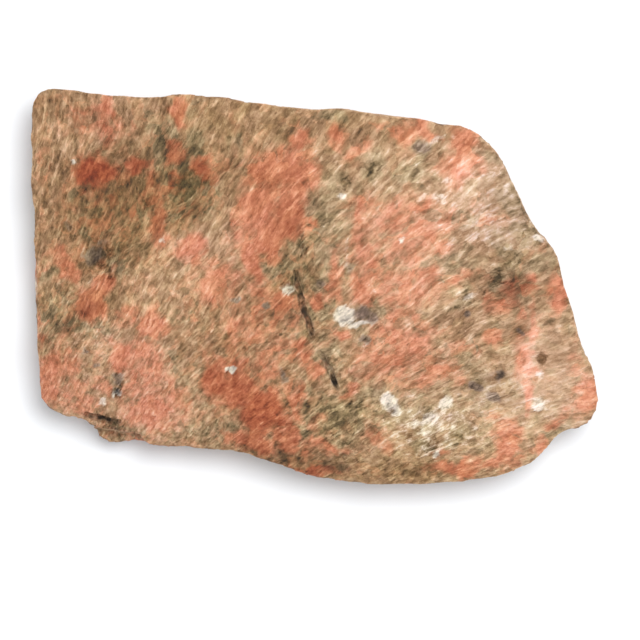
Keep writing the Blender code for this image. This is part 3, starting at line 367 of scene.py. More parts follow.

# Broad lighter and darker areas of the upper face: x, y, reach along, reach across, turn, change.
# They are partly stain and partly painted light and shade: painted shade in the upper-left hollow
# (together with its brown stain), in pits, along the ridge at the lower left, on the ledge and along
# the bottom edge, and painted light on slopes that turn away from the lamp
PAINTED_SHADING_AND_STAIN = [
    (-31.4, 16.7, 9.9, 6.1, 25, -0.15), (-19.8, 17.2, 5.6, 4.8, 0, -0.085),
    (-33.4, 6.0, 6.1, 3.2, 10, -0.1), (-40.6, 28.7, 5.4, 3.2, 0, -0.075),
    (-21.4, 6.0, 6.4, 6.7, 0, 0.05), (-26.2, -18.0, 17.6, 8.8, 0, 0.07),
    (-11.8, -18.8, 7.2, 8.0, 0, -0.09), (2.6, 27.1, 10.4, 3.2, -5, -0.095),
    (-3.8, 2.8, 4.8, 9.6, 0, -0.06), (17.8, 11.6, 13.6, 12.8, 0, 0.085),
    (17.0, -3.6, 9.6, 9.6, 0, 0.03), (18.6, -18.0, 16.0, 6.4, 0, 0.06),
    (30.6, 1.2, 6.7, 4.2, 0, -0.08), (37.0, -17.2, 9.6, 9.6, 0, 0.13),
    (4.2, -20.4, 6.1, 4.2, 0, -0.08), (-2.2, -28.1, 9.6, 1.9, -12, -0.12),
    (15.4, -29.8, 4.8, 1.4, 0, -0.1), (-32.3, -22.5, 4.0, 1.4, -12, -0.13),
    (30.6, -8.4, 6.4, 4.8, 0, -0.04), (28.2, 16.4, 6.4, 6.4, 0, 0.05),
    (-10.2, 7.6, 6.4, 9.6, 0, 0.02), (5.8, -4.7, 1.9, 1.4, 0, -0.04),
    (26.6, 17.2, 4.8, 6.4, 0, 0.04), (2.6, 27.1, 8.8, 2.6, -5, 0.05),
    (-31.0, -22.0, 4.8, 1.9, 0, 0.04), (-21.4, -21.2, 4.8, 2.4, 0, 0.04),
    (-31.5, -16.9, 1.0, 1.0, 0, -0.3), (-35.8, 0.6, 1.9, 1.3, 0, 0.06),
    (-31.4, -0.7, 1.9, 1.9, 0, -0.05), (34.2, -12.6, 1.1, 4.2, -8, 0.13),
    (33.0, -6.8, 1.1, 1.9, 0, -0.11), (31.0, -26.3, 1.9, 2.6, 0, 0.07),
    (-19.8, 11.8, 2.2, 2.2, 0, -0.09), (-24.2, 23.6, 1.0, 2.2, 0, -0.07),
    (-2.2, 0.4, 4.8, 7.2, 0, -0.04), (-16.6, -11.9, 8.8, 4.2, 0, -0.035),
    (17.0, -11.9, 5.1, 4.2, 0, -0.03), (-41.0, -6.0, 4.5, 7.2, 0, -0.025),
    (-11.8, 17.2, 4.2, 4.5, 0, -0.035), (-26.2, -2.0, 2.9, 3.2, 0, 0.06),
    (-34.6, -8.1, 2.9, 1.9, 0, 0.06), (-16.2, 9.2, 2.1, 2.4, 0, 0.05),
    (-37.4, -4.9, 1.6, 1.6, 0, -0.03), (-39.0, 22.3, 2.2, 1.6, 20, 0.05),
    (-23.0, 7.6, 1.6, 1.1, 0, 0.05), (39.4, -21.8, 2.2, 1.1, 20, -0.12),
    (35.5, -7.8, 1.3, 2.9, 0, 0.09), (18.6, -22.8, 9.6, 6.4, 0, 0.02),
    (29.9, -14.0, 1.3, 1.0, 0, -0.1),
    (24.5, -4.2, 0.8, 0.8, 0, -0.1), (25.8, -15.8, 1.1, 0.8, -20, -0.09),
    (7.4, -2.0, 3.2, 3.2, 0, -0.02), (-31.0, 17.2, 3.2, 3.2, 0, 0.025),
    (-23.8, 16.4, 4.0, 3.2, 0, 0.02), (-11.8, -22.8, 4.8, 3.2, 0, 0.02),
    (33.0, 12.4, 4.8, 4.8, 0, -0.02), (18.2, 6.8, 4.0, 6.4, 0, -0.025),
    (36.2, -13.5, 3.2, 3.2, 0, -0.03), (-35.8, -22.0, 3.2, 1.3, 0, 0.04),
    (-40.6, -21.2, 3.2, 1.6, 0, 0.03), (-36.8, 15.6, 1.3, 0.6, 0, -0.08),
    (-34.7, 3.8, 1.6, 1.0, 0, -0.08), (-38.9, -5.5, 5.8, 1.3, 34, -0.11),
    (-21.4, 17.2, 3.5, 4.8, 20, -0.05), (-36.2, 0.6, 1.6, 1.1, 0, 0.05),
    (-20.3, 17.4, 2.4, 1.8, 0, -0.08), (-19.8, 11.4, 2.4, 1.9, 0, -0.07),
    (-19.4, 22.3, 1.3, 1.8, 0, -0.1), (-24.2, 23.9, 1.1, 2.1, 0, -0.03),
    (8.3, -8.4, 1.0, 0.8, 0, -0.1), (25.8, -15.8, 0.8, 0.6, 0, -0.07),
    (29.0, -17.5, 1.0, 0.6, 0, -0.1), (29.9, -14.0, 0.8, 0.6, 0, -0.09),
    (17.1, 22.2, 1.3, 1.1, 0, 0.05), (-36.2, 0.6, 1.6, 1.3, 0, 0.04),
    (-32.6, -7.6, 3.2, 1.9, 0, 0.03), (5.4, 3.1, 0.8, 1.1, 0, 0.08),
    (-32.6, -22.5, 1.9, 0.8, -8, -0.1), (-20.3, 16.9, 1.9, 1.6, 0, 0.03),
    (17.8, -21.5, 4.2, 1.9, 0, 0.03), (-7.4, 2.0, 4.8, 3.2, 0, -0.01),
]

# Where the colours lean to yellow, or to rose below zero, in the same order
TINTS = [
    (19.4, -22.8, 7.7, 5.4, 0, 0.4), (31.7, 6.3, 4.2, 2.6, 30, 0.5),
    (-15.8, 26.5, 5.4, 2.6, 0, 0.45), (3.4, -20.4, 5.1, 3.5, 0, 0.6),
    (-26.2, 14.8, 5.8, 4.5, 0, 0.45), (-42.2, -2.8, 3.2, 3.2, 0, 0.5),
    (-3.8, 2.0, 3.2, 4.8, 0, 0.5), (-19.8, 15.6, 3.8, 3.2, 0, 0.4), (15.4, -29.2, 8.0, 2.2, 0, 0.5),
    (-19.5, 6.0, 2.9, 2.9, 0, -0.9), (-11.0, 7.6, 4.2, 5.4, 0, -0.5),
    (-26.2, -18.0, 4.8, 5.8, 0, -0.7), (-33.4, 27.6, 2.6, 3.8, 0, -0.6),
    (-29.4, -9.2, 4.2, 3.8, 0, -0.6), (-40.6, -15.6, 3.5, 3.5, 0, -0.4),
    (35.4, -10.0, 3.2, 8.0, 0, -0.4), (41.0, -16.4, 3.2, 6.4, 0, -0.4),
    (7.4, 6.0, 2.2, 9.6, 0, -0.3), (20.2, 6.0, 17.6, 17.6, 0, -0.4),
    (15.4, -10.0, 9.6, 8.0, 0, -0.3), (-37.4, -18.0, 9.6, 8.0, 0, -0.3),
    (-31.0, 11.6, 7.2, 7.2, 0, 0.9), (37.4, -8.4, 6.4, 14.4, 0, -0.45),
    (29.0, 14.0, 8.0, 9.6, 0, -0.6), (20.2, -22.8, 8.0, 6.4, 0, -0.25),
    (-20.3, 17.4, 3.5, 7.2, 0, 0.45), (-35.0, -2.5, 3.2, 2.9, 0, 0.45),
    (-32.6, 22.0, 8.8, 6.4, 0, -0.35),
]

# Where the grain is more or less contrasty, in the same order
VIVID = [
    (-30.2, 22.0, 12.8, 8.0, 0, 0.22), (-33.4, 2.8, 11.2, 9.6, 0, 0.12),
    (-6.2, -5.2, 8.0, 8.8, 0, 0.1), (-4.6, -21.5, 9.6, 6.4, 0, 0.22),
    (6.6, 20.4, 7.2, 6.4, 0, 0.03), (12.2, 6.0, 8.8, 8.8, 0, -0.12), (28.2, 11.6, 8.0, 8.0, 0, 0.1),
    (37.0, -11.6, 7.2, 10.4, 0, -0.3), (-20.2, 17.2, 5.4, 8.8, 0, -0.28),
    (-24.6, 26.0, 2.2, 3.2, 0, -0.15), (3.4, -18.8, 5.6, 3.5, 0, 0.12),
    (-41.4, -2.8, 4.8, 4.8, 0, -0.1),
]

# Where the strokes stand out more or less, in the same order
SHARP = [
    (28.2, 10.0, 8.0, 11.2, 0, 0.3), (23.7, -6.8, 6.4, 6.4, 0, 0.12),
    (13.0, 18.0, 6.4, 4.8, 0, 0.15), (29.8, -18.0, 4.8, 4.8, 0, 0.05),
    (-32.6, 17.2, 11.2, 9.6, 0, -0.1), (-37.4, -0.4, 7.2, 8.0, 0, -0.08),
    (-10.2, -20.4, 6.4, 5.6, 0, -0.12),
]

# Colours as seen under white light, 0 to 255, against how light the grain is from 0 to 1
MATRIX_TONES = [
    (0.08, (34, 25, 16)), (0.20, (69, 50, 31)), (0.35, (116, 86, 55)), (0.51, (160, 126, 92)),
    (0.67, (200, 166, 132)), (0.82, (231, 204, 175)), (0.95, (250, 241, 225)),
]
EPIDOTE_TONES = [
    (0.12, (36, 29, 17)), (0.35, (102, 84, 56)), (0.51, (150, 126, 94)), (0.67, (190, 165, 132)),
    (0.82, (225, 204, 175)), (0.95, (248, 240, 226)),
]
FELDSPAR_TONES = [
    (0.12, (62, 26, 15)), (0.35, (144, 75, 46)), (0.51, (182, 112, 80)), (0.61, (209, 138, 106)),
    (0.73, (232, 171, 141)), (0.88, (245, 211, 188)),
]
RUST_TONES = [
    (0.12, (56, 20, 10)), (0.35, (134, 60, 34)), (0.51, (175, 94, 61)), (0.67, (214, 141, 106)),
    (0.85, (240, 196, 168)),
]
QUARTZ_TONES = [
    (0.30, (92, 84, 78)), (0.50, (152, 143, 133)), (0.66, (203, 192, 177)), (0.82, (240, 225, 207)),
    (0.95, (252, 245, 234)),
]
GREY_TONES = [
    (0.20, (66, 52, 42)), (0.40, (113, 94, 78)), (0.55, (151, 128, 109)), (0.70, (190, 168, 149)),
    (0.88, (232, 215, 200)),
]
YELLOW_TINT, ROSE_TINT = (252, 255, 235), (255, 249, 255)
# The dark brown of the painted shade in the fissure, pits and ledge
PAINTED_SHADE_BROWN = (44, 34, 23)
FLOOR_WHITE = (241, 244, 247)


# Shapes

def ease(value, start, end):
    """0 before start, 1 after end, and a smooth rise between them."""
    share = np.clip((value - start) / (end - start), 0.0, 1.0)
    return share * share * (3.0 - 2.0 * share)


def select_only(piece):
    bpy.ops.object.select_all(action="DESELECT")
    piece.select_set(True)
    bpy.context.view_layer.objects.active = piece


def apply_modifier(piece, kind, **settings):
    modifier = piece.modifiers.new(kind.lower(), kind)
    for name, value in settings.items():
        setattr(modifier, name, value)
    select_only(piece)
    bpy.ops.object.modifier_apply(modifier=modifier.name)


def smooth(piece, times, group=""):
    apply_modifier(piece, "SMOOTH", factor=0.5, iterations=times, vertex_group=group)


def vectors(items, name):
    values = np.empty(len(items) * 3)
    items.foreach_get(name, values)
    return values.reshape(-1, 3)


def corners(piece):
    """Every corner of the piece's mesh, in millimetres."""
    return vectors(piece.data.vertices, "co") / MM


def corner_normals(piece):
    return vectors(piece.data.vertex_normals, "vector")


def move_corners(piece, places):
    piece.data.vertices.foreach_set("co", (places * MM).ravel())
    piece.data.update()


def move_above_floor(piece, places):
    places[:, 2] = np.maximum(places[:, 2], 0.0)
    move_corners(piece, places)


def weigh_corners(piece, name, share, least):
    """A vertex group that holds each corner's share, where it is more than least."""
    group = piece.vertex_groups.new(name=name)
    for i in np.flatnonzero(share > least):
        group.add([int(i)], float(share[i]), "REPLACE")


def select_faces(piece, chosen):
    """Selects the faces for which chosen says True, and nothing else."""
    mesh = piece.data
    mesh.vertices.foreach_set("select", np.zeros(len(mesh.vertices), bool))
    mesh.edges.foreach_set("select", np.zeros(len(mesh.edges), bool))
    mesh.polygons.foreach_set("select", chosen)


def face_facts(piece):
    """The middle of every face in millimetres, and its normal."""
    faces = piece.data.polygons
    return vectors(faces, "center") / MM, vectors(faces, "normal")


def edit_faces(piece, chosen, change):
    """Runs an edit-mode operator on the chosen faces."""
    select_only(piece)
    bpy.ops.object.mode_set(mode="EDIT")
    bpy.ops.mesh.select_mode(type="FACE")
    bpy.ops.mesh.select_all(action="DESELECT")
    bpy.ops.object.mode_set(mode="OBJECT")
    select_faces(piece, chosen)
    bpy.ops.object.mode_set(mode="EDIT")
    change()
    bpy.ops.object.mode_set(mode="OBJECT")


def refine(piece, chosen):
    """Splits every side of the chosen faces in two."""
    edit_faces(piece, chosen, lambda: bpy.ops.mesh.subdivide(number_cuts=1))


def rough_block():
    """The stone's solid with a fine even skin, and an underside of few faces."""
    stone = bpy.data.objects.new("rough_unakite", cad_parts[STONE].data.copy())
    bpy.context.scene.collection.objects.link(stone)
    stone.data.materials.clear()
    everything = np.ones(len(stone.data.polygons), bool)
    edit_faces(stone, everything, lambda: bpy.ops.mesh.remove_doubles(threshold=1e-6))
    apply_modifier(stone, "REMESH", mode="VOXEL", voxel_size=SKIN_VOXEL * MM)
    smooth(stone, 3)
    let_out_rim(stone)
    middles, normals = face_facts(stone)
    underside = (normals[:, 2] < -0.999) & (middles[:, 2] < 0.01)
    edit_faces(stone, underside, lambda: bpy.ops.mesh.dissolve_limited(angle_limit=0.02))
    refine(stone, face_facts(stone)[1][:, 2] > UPPER_FACING)
    weigh_corners(stone, "upper_face", upper_share(stone), 0.02)
    smooth(stone, 3, "upper_face")
    return stone


def let_out_rim(stone):
    """Pushes the sides out to the photographed outline, and sets the foot flat on the floor."""
    places = corners(stone)
    out = np.full(len(places), RIM_OUT)
    for x, y, amount in RIM_SHIFTS:
        away = np.hypot(places[:, 0] - x, places[:, 1] - y)
        out += amount * np.exp(-(away / SHIFT_REACH) ** 2)
    places += out[:, None] * corner_normals(stone) * (1.0, 1.0, 0.0)
    places[places[:, 2] < FLAT_BELOW, 2] = 0.0
    move_corners(stone, places)


def upper_share(stone):
    """1 on the worn upper face and 0 on the broken sides."""
    return ease(corner_normals(stone)[:, 2], UPPER_FROM, UPPER_TO)


def rim_share(places, upper):
    """1 where the upper face turns over into the sides, and 0 away from there."""
    turning = 4.0 * upper * (1.0 - upper) * ease(places[:, 2], *TURN_HEIGHTS)
    return np.maximum(turning, (1.0 - upper) * ease(places[:, 2], *LIP_HEIGHTS))


def to_path(x, y, path):
    """For every place: how far it is from the path, and the width and depth there."""
    away = np.full(x.shape, 1e9)
    width, depth = np.zeros(x.shape), np.zeros(x.shape)
    for (x0, y0, w0, d0), (x1, y1, w1, d1) in zip(path, path[1:]):
        run = (x1 - x0) ** 2 + (y1 - y0) ** 2
        share = np.clip(((x - x0) * (x1 - x0) + (y - y0) * (y1 - y0)) / run, 0.0, 1.0)
        here = np.hypot(x - x0 - share * (x1 - x0), y - y0 - share * (y1 - y0))
        near = here < away
        away = np.where(near, here, away)
        width = np.where(near, w0 + share * (w1 - w0), width)
        depth = np.where(near, d0 + share * (d1 - d0), depth)
    return away, width, depth


def wander(places, size, amount):
    """Moves places about by a smooth noise, so that drawn lines and rings come out ragged."""
    moves = [noise.noise_vector(Vector(place) / size) for place in places]
    return places + amount * np.array(moves)


def blotches(places, size, shift):
    """A smooth random value at every place, from about -0.5 to 0.5."""
    return np.array([noise.noise((Vector(place) + Vector((shift, 0.0, 0.0))) / size)
                     for place in places])


def cut_fissure(stone):
    """Finer faces along the fissure, and then its steep walls."""
    for reach in FINER_WITHIN:
        middles, normals = face_facts(stone)
        near = np.zeros(len(middles), bool)
        for path in FISSURE:
            near |= to_path(middles[:, 0], middles[:, 1], path)[0] < reach
        refine(stone, near & (normals[:, 2] > CUT_FACING))
    places = corners(stone)
    upper = upper_share(stone)
    ragged = wander(places, size=1.3, amount=0.22)
    for path in FISSURE:
        away, width, depth = to_path(ragged[:, 0], ragged[:, 1], path)
        wall = 1.0 - ease(away, 0.25 * width, 0.5 * width + WALL_RUN)
        places[:, 2] -= depth * wall * upper
    move_corners(stone, places)


def press_pits(stone):
    places = corners(stone)
    upper = upper_share(stone)
    ragged = wander(places, size=0.9, amount=0.35)
    for x, y, radius, depth in PITS:
        away = np.hypot(ragged[:, 0] - x, ragged[:, 1] - y)
        places[:, 2] -= depth * upper * (1.0 - ease(away, 0.25 * radius, 1.15 * radius))
    move_corners(stone, places)


def facets(places, size):
    """From 0 to 1: how deep each broken facet lies, flat and tilted at random within a cell."""
    depths = np.empty(len(places))
    for i, place in enumerate(places):
        spot = Vector(place) / size
        centre = noise.voronoi(spot)[1][0]
        tilt = noise.cell_vector(centre * 37.0) - Vector((0.5, 0.5, 0.5))
        depths[i] = 0.5 + (spot - centre).dot(tilt.normalized()) * 0.6
    return np.clip(depths, 0.0, 1.0)


def break_sides(stone):
    """Facets, chips and crumbs broken into the sides, but few at the rim, floor and overhangs."""
    places, normals = corners(stone), corner_normals(stone)
    off_rim = ease(FACE_HEIGHT - places[:, 2], 1.0, 4.0)
    left_side = ease(-places[:, 0], 40.0, 42.5) * ease(places[:, 1], -17.0, -13.0)
    share = 1.0 - upper_share(stone)
    share *= ease(places[:, 2], 0.05, 0.9) * (RIM_BREAKAGE + (1.0 - RIM_BREAKAGE) * off_rim)
    share *= ease(normals[:, 2], -0.85, -0.35)
    share *= 1.0 - LEFT_CALM * left_side
    sides = np.flatnonzero(share > 0.01)
    ragged = wander(wander(places[sides], size=3.0, amount=0.6), size=0.9, amount=0.25)
    depth = FACET_DEPTH * facets(ragged, FACET_SIZE) + CHIP_DEPTH * facets(ragged + 50.0, CHIP_SIZE)
    depth += CRUMB_DEPTH * (blotches(ragged, CRUMB_SIZE, shift=20.0) + 0.5)
    places[sides] -= (share[sides] * (depth - SIDES_OUT))[:, None] * normals[sides]
    move_above_floor(stone, places)
    weigh_corners(stone, "broken_sides", share, 0.01)
    smooth(stone, 2, "broken_sides")


def roughen(stone):
    """Gritty grain all over, but finer along the rim and none at the underside."""
    places = corners(stone)
    share = ease(places[:, 2], 0.05, 0.6) * (1.0 - 0.8 * rim_share(places, upper_share(stone)))
    weigh_corners(stone, "above_underside", share, 0.02)
    grit = bpy.data.textures.new("grit", "CLOUDS")
    grit.noise_scale, grit.noise_depth, grit.noise_type = GRIT_SIZE * MM, 3, "HARD_NOISE"
    apply_modifier(stone, "DISPLACE", texture=grit, strength=GRIT_HEIGHT * MM, mid_level=0.5,
                   texture_coords="LOCAL", vertex_group="above_underside")
    move_above_floor(stone, corners(stone))


# What the rock is made of, and painted light and shade, written on its corners

def off_centre(x, y, cx, cy, along, across, turn):
    """How far every place is from a spot's middle, along and across it, as shares of its reach."""
    angle = math.radians(turn)
    u = (x - cx) * math.cos(angle) + (y - cy) * math.sin(angle)
    v = (y - cy) * math.cos(angle) - (x - cx) * math.sin(angle)
    return u / along, v / across


def patch_field(x, y, patches):
    """A patch's strength well inside it, about half of that at its edge, and 0 away from it."""
    field = np.zeros(x.shape)
    for *spot, strength in patches:
        away = np.hypot(*off_centre(x, y, *spot))
        field = np.maximum(field, strength * (1.0 - ease(away, PATCH_CORE, PATCH_END)))
    return field


def broad_change(x, y, areas):
    """The sum of soft wide areas, each with its own amount at the middle."""
    change = np.zeros(x.shape)
    for *spot, amount in areas:
        u, v = off_centre(x, y, *spot)
        change += amount * np.exp(-AREA_FALL * (u ** 2 + v ** 2))
    return change


def write_field(stone, name, values):
    attribute = stone.data.attributes.new(name, "FLOAT", "POINT")
    attribute.data.foreach_set("value", values.astype(np.float32))


def lay_of_strokes(places):
    """Along and across the curved strokes, and up, in millimetres."""
    lean = math.radians(STROKE_LEAN)
    turning = math.radians(STROKE_TURN_X) - 1j * math.radians(STROKE_TURN_Y)
    strayed = wander(places, size=7.0, amount=0.7)
    spot = strayed[:, 0] + 1j * strayed[:, 1]
    laid = (np.exp(-1j * (lean + turning * spot)) - np.exp(-1j * lean)) / (-1j * turning)
    return np.column_stack([laid.real, laid.imag, places[:, 2]])


def write_minerals(stone):
    """Where each mineral lies: given in tables for the upper face, and by chance on the sides."""
    # Besides the minerals, the rim, light, dark and cleft fields hold painted light and shade
    places = corners(stone)
    upper = upper_share(stone)
    shallow = np.maximum(upper, 1.0 - ease(FACE_HEIGHT - places[:, 2], DEEP_FROM, DEEP_TO))
    deep = 1.0 - shallow
    write_field(stone, "upper", upper)
    # The rim field also paints light on the rim, where the face turns over into shade
    write_field(stone, "rim", rim_share(places, upper))

    ragged = wander(wander(places, size=4.2, amount=1.5), size=1.4, amount=0.8)
    x, y = ragged[:, 0], ragged[:, 1]
    salmon = LEAST_SALMON + (1.0 - LEAST_SALMON) * patch_field(x, y, SALMON)
    write_field(stone, "salmon", shallow * salmon
                + deep * (SIDE_SALMON + SIDE_CHANGE * blotches(places, size=7.0, shift=0.0)))
    write_field(stone, "olive", shallow * patch_field(x, y, OLIVE)
                + deep * (SIDE_OLIVE + SIDE_CHANGE * blotches(places, size=6.0, shift=40.0)))
    write_field(stone, "rust", shallow * patch_field(x, y, RUST))

    ragged = wander(places, size=0.9, amount=0.45)
    x, y = ragged[:, 0], ragged[:, 1]
    write_field(stone, "quartz", shallow * patch_field(x, y, QUARTZ)
                + deep * SIDE_QUARTZ * np.maximum(blotches(places, size=4.0, shift=80.0), 0.0))
    write_field(stone, "grey", shallow * patch_field(x, y, GREY))
    write_field(stone, "dark", shallow * patch_field(x, y, DARK_GRAINS_AND_SHADE))
    # The light field is partly stain and partly painted light and shade
    for name, areas in (("light", PAINTED_SHADING_AND_STAIN), ("tint", TINTS), ("vivid", VIVID), ("sharp", SHARP)):
        write_field(stone, name, shallow * broad_change(x, y, areas))

    # The cleft field: painted shade, darker where the fissure is deeper, and in the pits and ledge of
    # the table above, with a faint brown stain
    cleft = patch_field(x, y, SHADE_AND_BROWN_STAIN)
    for path in FISSURE:
        away, _, depth = to_path(x, y, path)
        shaded = np.clip(depth * SHADE_PER_DEPTH, 0, 1) * (1.0 - ease(away, 0.05, 0.8))
        cleft = np.maximum(cleft, shaded)
    mottle = CLEFT_SHADE + CLEFT_CHANGE * blotches(places, size=1.1, shift=60.0)
    write_field(stone, "cleft", cleft * shallow * mottle)
    lay = stone.data.attributes.new("lay", "FLOAT_VECTOR", "POINT")
    lay.data.foreach_set("vector", lay_of_strokes(places).astype(np.float32).ravel())


# Finishes

def shade(colour):
    """A colour of 0 to 255 as the shader's linear values."""
    parts = [c / 255.0 for c in colour]
    return [c / 12.92 if c <= 0.04045 else ((c + 0.055) / 1.055) ** 2.4 for c in parts] + [1.0]


def put(tree, socket, value):
    """Links an output to the socket, or sets the socket's own value."""
    if isinstance(value, bpy.types.NodeSocket):
        tree.links.new(value, socket)
    else:
        socket.default_value = value


def sums(tree, operation, *values, clamp=False):
    node = tree.nodes.new("ShaderNodeMath")
    node.operation, node.use_clamp = operation, clamp
    for socket, value in zip(node.inputs, values):
        put(tree, socket, value)
    return node.outputs[0]


def weigh(tree, *terms):
    """The sum of value times weight for each pair, plus a last number if there is one."""
    total = None
    for term in terms:
        if isinstance(term, tuple):
            value, weight = term
            total = sums(tree, "MULTIPLY_ADD", value, weight, 0.0 if total is None else total)
        else:
            total = sums(tree, "ADD", total, term)
    return total


def node_at(tree, kind, vector):
    """A new node that takes its places from the given vector."""
    node = tree.nodes.new(kind)
    put(tree, node.inputs["Vector"], vector)
    return node


def grain(tree, vector, size, detail=3.0, rough=0.55, bend=0.0):
    """Noise from about -1 to 1 with features of the given size in millimetres."""
    node = node_at(tree, "ShaderNodeTexNoise", vector)
    for name, value in (("Scale", 1.0 / size), ("Detail", detail), ("Roughness", rough),
                        ("Distortion", bend)):
        node.inputs[name].default_value = value
    return sums(tree, "MULTIPLY_ADD", node.outputs["Fac"], 4.0, -2.0)


def cells(tree, vector, size):
    """A value from -1 to 1 for each grain of the given size in millimetres."""
    node = node_at(tree, "ShaderNodeTexVoronoi", vector)
    node.inputs["Scale"].default_value = 1.0 / size
    parts = tree.nodes.new("ShaderNodeSeparateColor")
    put(tree, parts.inputs[0], node.outputs["Color"])
    return sums(tree, "MULTIPLY_ADD", parts.outputs[0], 2.0, -1.0)


def ruffle(tree, vector, size, amount):
    """The same places, moved about a little so that grain borders come out ragged."""
    node = node_at(tree, "ShaderNodeTexNoise", vector)
    node.inputs["Scale"].default_value, node.inputs["Detail"].default_value = 1.0 / size, 2.0
    move = tree.nodes.new("ShaderNodeVectorMath")
    move.operation = "MULTIPLY_ADD"
    put(tree, move.inputs[0], node.outputs["Color"])
    move.inputs[1].default_value = (amount, amount, amount)
    put(tree, move.inputs[2], vector)
    return move.outputs[0]


def stretch(tree, vector, scale, shift=(0.0, 0.0, 0.0)):
    node = node_at(tree, "ShaderNodeMapping", vector)
    node.inputs["Scale"].default_value = scale
    node.inputs["Location"].default_value = shift
    return node.outputs[0]


def written(tree, name, output="Fac"):
    node = tree.nodes.new("ShaderNodeAttribute")
    node.attribute_name = name
    return node.outputs[output]


def rise(tree, value, low, high):
    node = tree.nodes.new("ShaderNodeMapRange")
    node.interpolation_type = "SMOOTHSTEP"
    put(tree, node.inputs[0], value)
    node.inputs[1].default_value, node.inputs[2].default_value = low, high
    return node.outputs[0]


def blend_value(tree, share, low, high):
    node = tree.nodes.new("ShaderNodeMix")
    put(tree, node.inputs[0], share)
    put(tree, node.inputs[2], low)
    put(tree, node.inputs[3], high)
    return node.outputs[0]


def blend_colour(tree, share, under, over, how="MIX"):
    node = tree.nodes.new("ShaderNodeMix")
    node.data_type, node.blend_type = "RGBA", how
    put(tree, node.inputs[0], share)
    put(tree, node.inputs[6], under)
    put(tree, node.inputs[7], over)
    return node.outputs[2]


def tones(tree, value, stops):
    node = tree.nodes.new("ShaderNodeValToRGB")
    ramp = node.color_ramp
    ramp.interpolation = "LINEAR"
    while len(ramp.elements) < len(stops):
        ramp.elements.new(0.5)
    for element, (position, colour) in zip(ramp.elements, stops):
        element.position = position
        element.color = shade(colour)
    put(tree, node.inputs[0], value)
    return node.outputs[0]


def fine_grain(tree, lay, ragged, place):
    """Strokes on the upper face and crystals on the sides, both from about -1 to 1."""
    streaks = grain(tree, stretch(tree, lay, (0.14, 1.0, 0.6), (2.0, 9.0, 0.0)), 0.6, 1.0)
    strokes = weigh(
        tree,
        (grain(tree, stretch(tree, lay, (0.28, 1.0, 0.6)), 0.80, 4.0, 0.66, 0.1), 0.48),
        (grain(tree, stretch(tree, lay, (0.22, 1.0, 0.6), (7.0, 3.0, 0.0)), 0.36, 2.0, 0.5), 0.32),
        (cells(tree, stretch(tree, ragged, (0.36, 1.0, 0.6)), 0.62), 0.33),
        (cells(tree, stretch(tree, ragged, (0.38, 1.0, 0.6), (3.0, 8.0, 0.0)), 0.42), 0.24),
        (rise(tree, streaks, 0.25, 0.9), 0.50),
        -0.08,
    )
    crystals = weigh(
        tree,
        (grain(tree, place, 1.3, 4.0, 0.6), 0.34),
        (grain(tree, place, 0.4, 2.0, 0.5), 0.26),
        (cells(tree, ruffle(tree, place, 0.8, 0.7), 1.1), 0.42),
        (cells(tree, ruffle(tree, place, 0.6, 0.5), 0.6), 0.30),
    )
    return blend_value(tree, written(tree, "upper"), crystals, strokes)


def showing(tree, name, low, high, *breaks):
    """How much of a mineral shows, from 0 to 1: its written patches, broken up by noises."""
    return rise(tree, weigh(tree, (written(tree, name), 1.0), *breaks), low, high)


def new_material(name):
    """A material, its node tree and shader, and the places on the piece in metres."""
    material = bpy.data.materials.new(name)
    material.use_nodes = True
    tree = material.node_tree
    metres = tree.nodes.new("ShaderNodeTexCoord").outputs["Object"]
    return material, tree, tree.nodes["Principled BSDF"], metres


